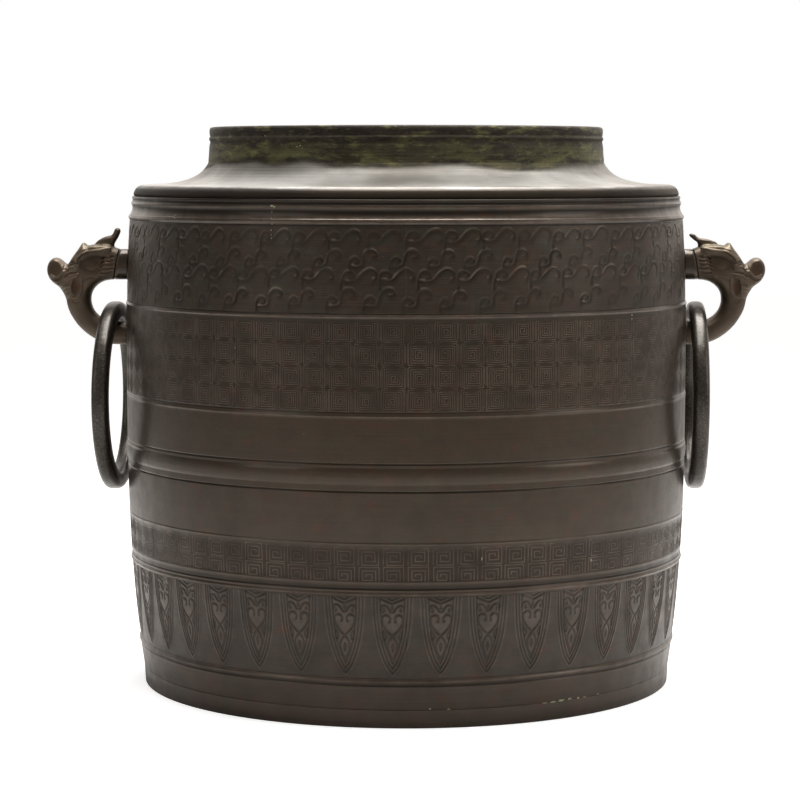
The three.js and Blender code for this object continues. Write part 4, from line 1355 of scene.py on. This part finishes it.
# Painted highlight and shade: the threads' tops take the light colour and their feet and the ground
# take the dark one, for wear and dirt and for the light and shade of the threads.
fret_finish = bronze("fret_patina", (50, 41, 33), (52, 40, 31), (20, 15, 12), (106, 94, 84),
                     gloss=(0.44, 0.58), coat=0.25, coat_blur=0.4, relief_span=(-0.7, 0.6),
                     patches=(RED_PATCH,), streak=0.06)
leaf_finish = bronze("leaf_patina", (64, 56, 49), (58, 50, 43), (30, 24, 21), (100, 89, 81),
                     gloss=(0.42, 0.56), patches=(RED_PATCH, GREEN_PATCH), streak=0.06, depth=0.6)
ring_finish = bronze("ring_patina", (58, 53, 47), (50, 46, 40), (30, 26, 24), (80, 74, 68),
                     gloss=(0.34, 0.5), grain=1.0, patch_stretch=1.0,
                     patches=(((104, 100, 92), 1300, 0.52, 0.6, 0.6),
                              ((30, 27, 25), 420, 0.54, 0.64, 0.6)))
head_finish = bronze("head_patina", (88, 76, 63), (75, 62, 50), (34, 22, 15), (116, 103, 86),
                     gloss=(0.46, 0.6), relief_span=(-1.4, 0.8), coat=0.3, coat_blur=0.35, grain=0.8,
                     zones=(("rust", (94, 56, 30), 0.6), ("crown", (86, 79, 57), 0.5)))
crust_finish = bronze("pale_crust", (146, 150, 122), (172, 170, 144), (90, 92, 70), (190, 188, 164),
                      gloss=(0.75, 0.9), metal=0.0, coat=0.0, grain=1.0)
inner_finish = bronze("inner_bronze", (74, 60, 44), (62, 50, 38), (40, 30, 22), (90, 76, 58),
                      gloss=(0.55, 0.7), metal=0.6, grain=0.9, coat=0.2)
print("finishes:", len(bpy.data.materials))

# %% [markdown]
# ## Every piece rides on its body
# The rings are bodies of their own, lying on the arms. Everything else is one body.
# Each piece takes its finish, and the CAD solid that it stands for is hidden.

# %% Finishes, bodies and what each piece stands for
def settle(piece, finish, body, slot, *nodes):
    """Gives a piece its finish and its body, and hides the solids that it stands for; the slot is
    not used.
    """
    piece.data.materials.clear()
    piece.data.materials.append(finish)
    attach(piece, body)
    if nodes:
        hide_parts(*nodes)


for piece, finish, slot, node in (
        (wall, brown, "brown_bronze", "vessel_wall"),
        (shoulder, neck_finish, "brown_bronze", "shoulder"),
        (neck, neck_finish, "green_bronze", "neck_collar"),
        (foot, brown, "brown_bronze", "foot_ring"),
        (plate, inner_finish, "bare_bronze", "base_plate")):
    settle(piece, finish, "pot", slot, node)
for pieces, finish in ((cloud_band, cloud_finish), (leaf_band, leaf_finish),
                       (lower_fret + upper_fret, fret_finish), ([crusts], crust_finish)):
    for piece in pieces:
        settle(piece, finish, "pot", "brown_bronze")
for (label, _), piece, stub in zip(SIDES, handles, sockets):
    settle(piece, head_finish, "pot", "olive_bronze", f"{label}_handle")
    settle(stub, brown, "pot", "brown_bronze", f"{label}_socket")
for label, level, piece in rivets:
    settle(piece, inner_finish, "pot", "bare_bronze", f"{label}_{level}_rivet")
for label, piece in rings:
    settle(piece, ring_finish, f"{label}_ring", "dark_bronze", f"{label}_ring")

# %% [markdown]
# ## Camera, floor and light
# The camera was solved from the ellipses of the pot's own edges: a long lens, a little above the
# middle, looking slightly down. The backdrop is plain white and stands behind the pot, so that its
# bright reflection runs up both flanks and over the shoulder, while the front stays quiet.

# %% Camera
PICTURE = 800  # pixels each way
FOCAL, SIDEWAYS = 2634, -6.2  # the lens and its shift, in those pixels
DOWNWARD = 5.15  # degrees
SENSOR = 36.0

camera_data = bpy.data.cameras.new("camera")
camera_data.sensor_width = SENSOR
camera_data.lens = FOCAL / PICTURE * SENSOR
camera_data.shift_x = SIDEWAYS / PICTURE
camera_data.clip_start = 0.05
camera = put("camera", camera_data)
camera.location = (0, -1.419, 0.27765)  # metres
camera.rotation_euler = (math.radians(90 - DOWNWARD), 0, 0)
bpy.context.scene.camera = camera

# %% Floor
floor_mesh = bpy.data.meshes.new("floor")
floor_mesh.from_pydata([(-4, -4, 0), (4, -4, 0), (4, 4, 0), (-4, 4, 0)], [], [(0, 1, 2, 3)])
floor = put("floor", floor_mesh)
floor.location.z = -0.2 * MM
floor_finish, tree, shader = new_finish("pale_floor")
shader.inputs["Base Color"].default_value = (0.7, 0.7, 0.7, 1)
shader.inputs["Roughness"].default_value = 0.9
white_to_camera = times(add(tree, "LightPath").outputs["Is Camera Ray"], 0.74)
glow = add(tree, "Emission", {"Strength": white_to_camera})
both = add(tree, "AddShader", {0: shader.outputs["BSDF"], 1: glow.outputs["Emission"]})
tree.links.new(both.outputs["Shader"], tree.nodes["Material Output"].inputs["Surface"])
floor_mesh.materials.append(floor_finish)

# %% The white backdrop
world = bpy.data.worlds.new("studio")
world.use_nodes = True
bpy.context.scene.world = world
tree = world.node_tree
tree.nodes.clear()
WARM, WHITE = (1.0, 0.93, 0.86, 1), (1.0, 1.0, 1.0, 1)

direction = add(tree, "SeparateXYZ", {"Vector": add(tree, "TexCoord").outputs["Generated"]}).outputs
around = limits(direction["X"], -0.9, 0.9, 0.14, 0.32)  # the dim room, a little lighter on the right
towards = plus(direction["Y"], times(direction["X"], 0.12))
behind = most(limits(towards, 0.2, 0.75), around)
path = add(tree, "LightPath").outputs
seen = most(path["Is Camera Ray"], path["Is Transmission Ray"])
tone = blend(seen, WARM, WHITE)
sky = add(tree, "Background", {"Strength": most(behind, seen), "Color": tone})
add(tree, "OutputWorld", {"Surface": sky.outputs["Background"]})

# %% Lamps
LAMP_COLOUR = (1.0, 0.97, 0.93)


def softbox(name, stand, aim, width, height, power):
    """A rectangular lamp turned towards a point."""
    data = bpy.data.lights.new(name, "AREA")
    data.shape = "RECTANGLE"
    data.size, data.size_y, data.energy, data.color = width, height, power, LAMP_COLOUR
    lamp = put(name, data)
    lamp.location = stand
    lamp.rotation_euler = (Vector(aim) - Vector(stand)).to_track_quat("-Z", "Y").to_euler()


softbox("overhead", (0.05, 0.08, 0.87), (0.02, -0.06, 0.27), 0.64, 0.75, 16)
softbox("left_box", (-1.25, -0.9, 0.75), (0, 0, 0.15), 0.7, 1.0, 2.2)
softbox("right_box", (1.35, -0.5, 0.75), (0, 0, 0.15), 0.7, 1.0, 3.6)
bpy.context.scene.view_settings.view_transform = "Standard"
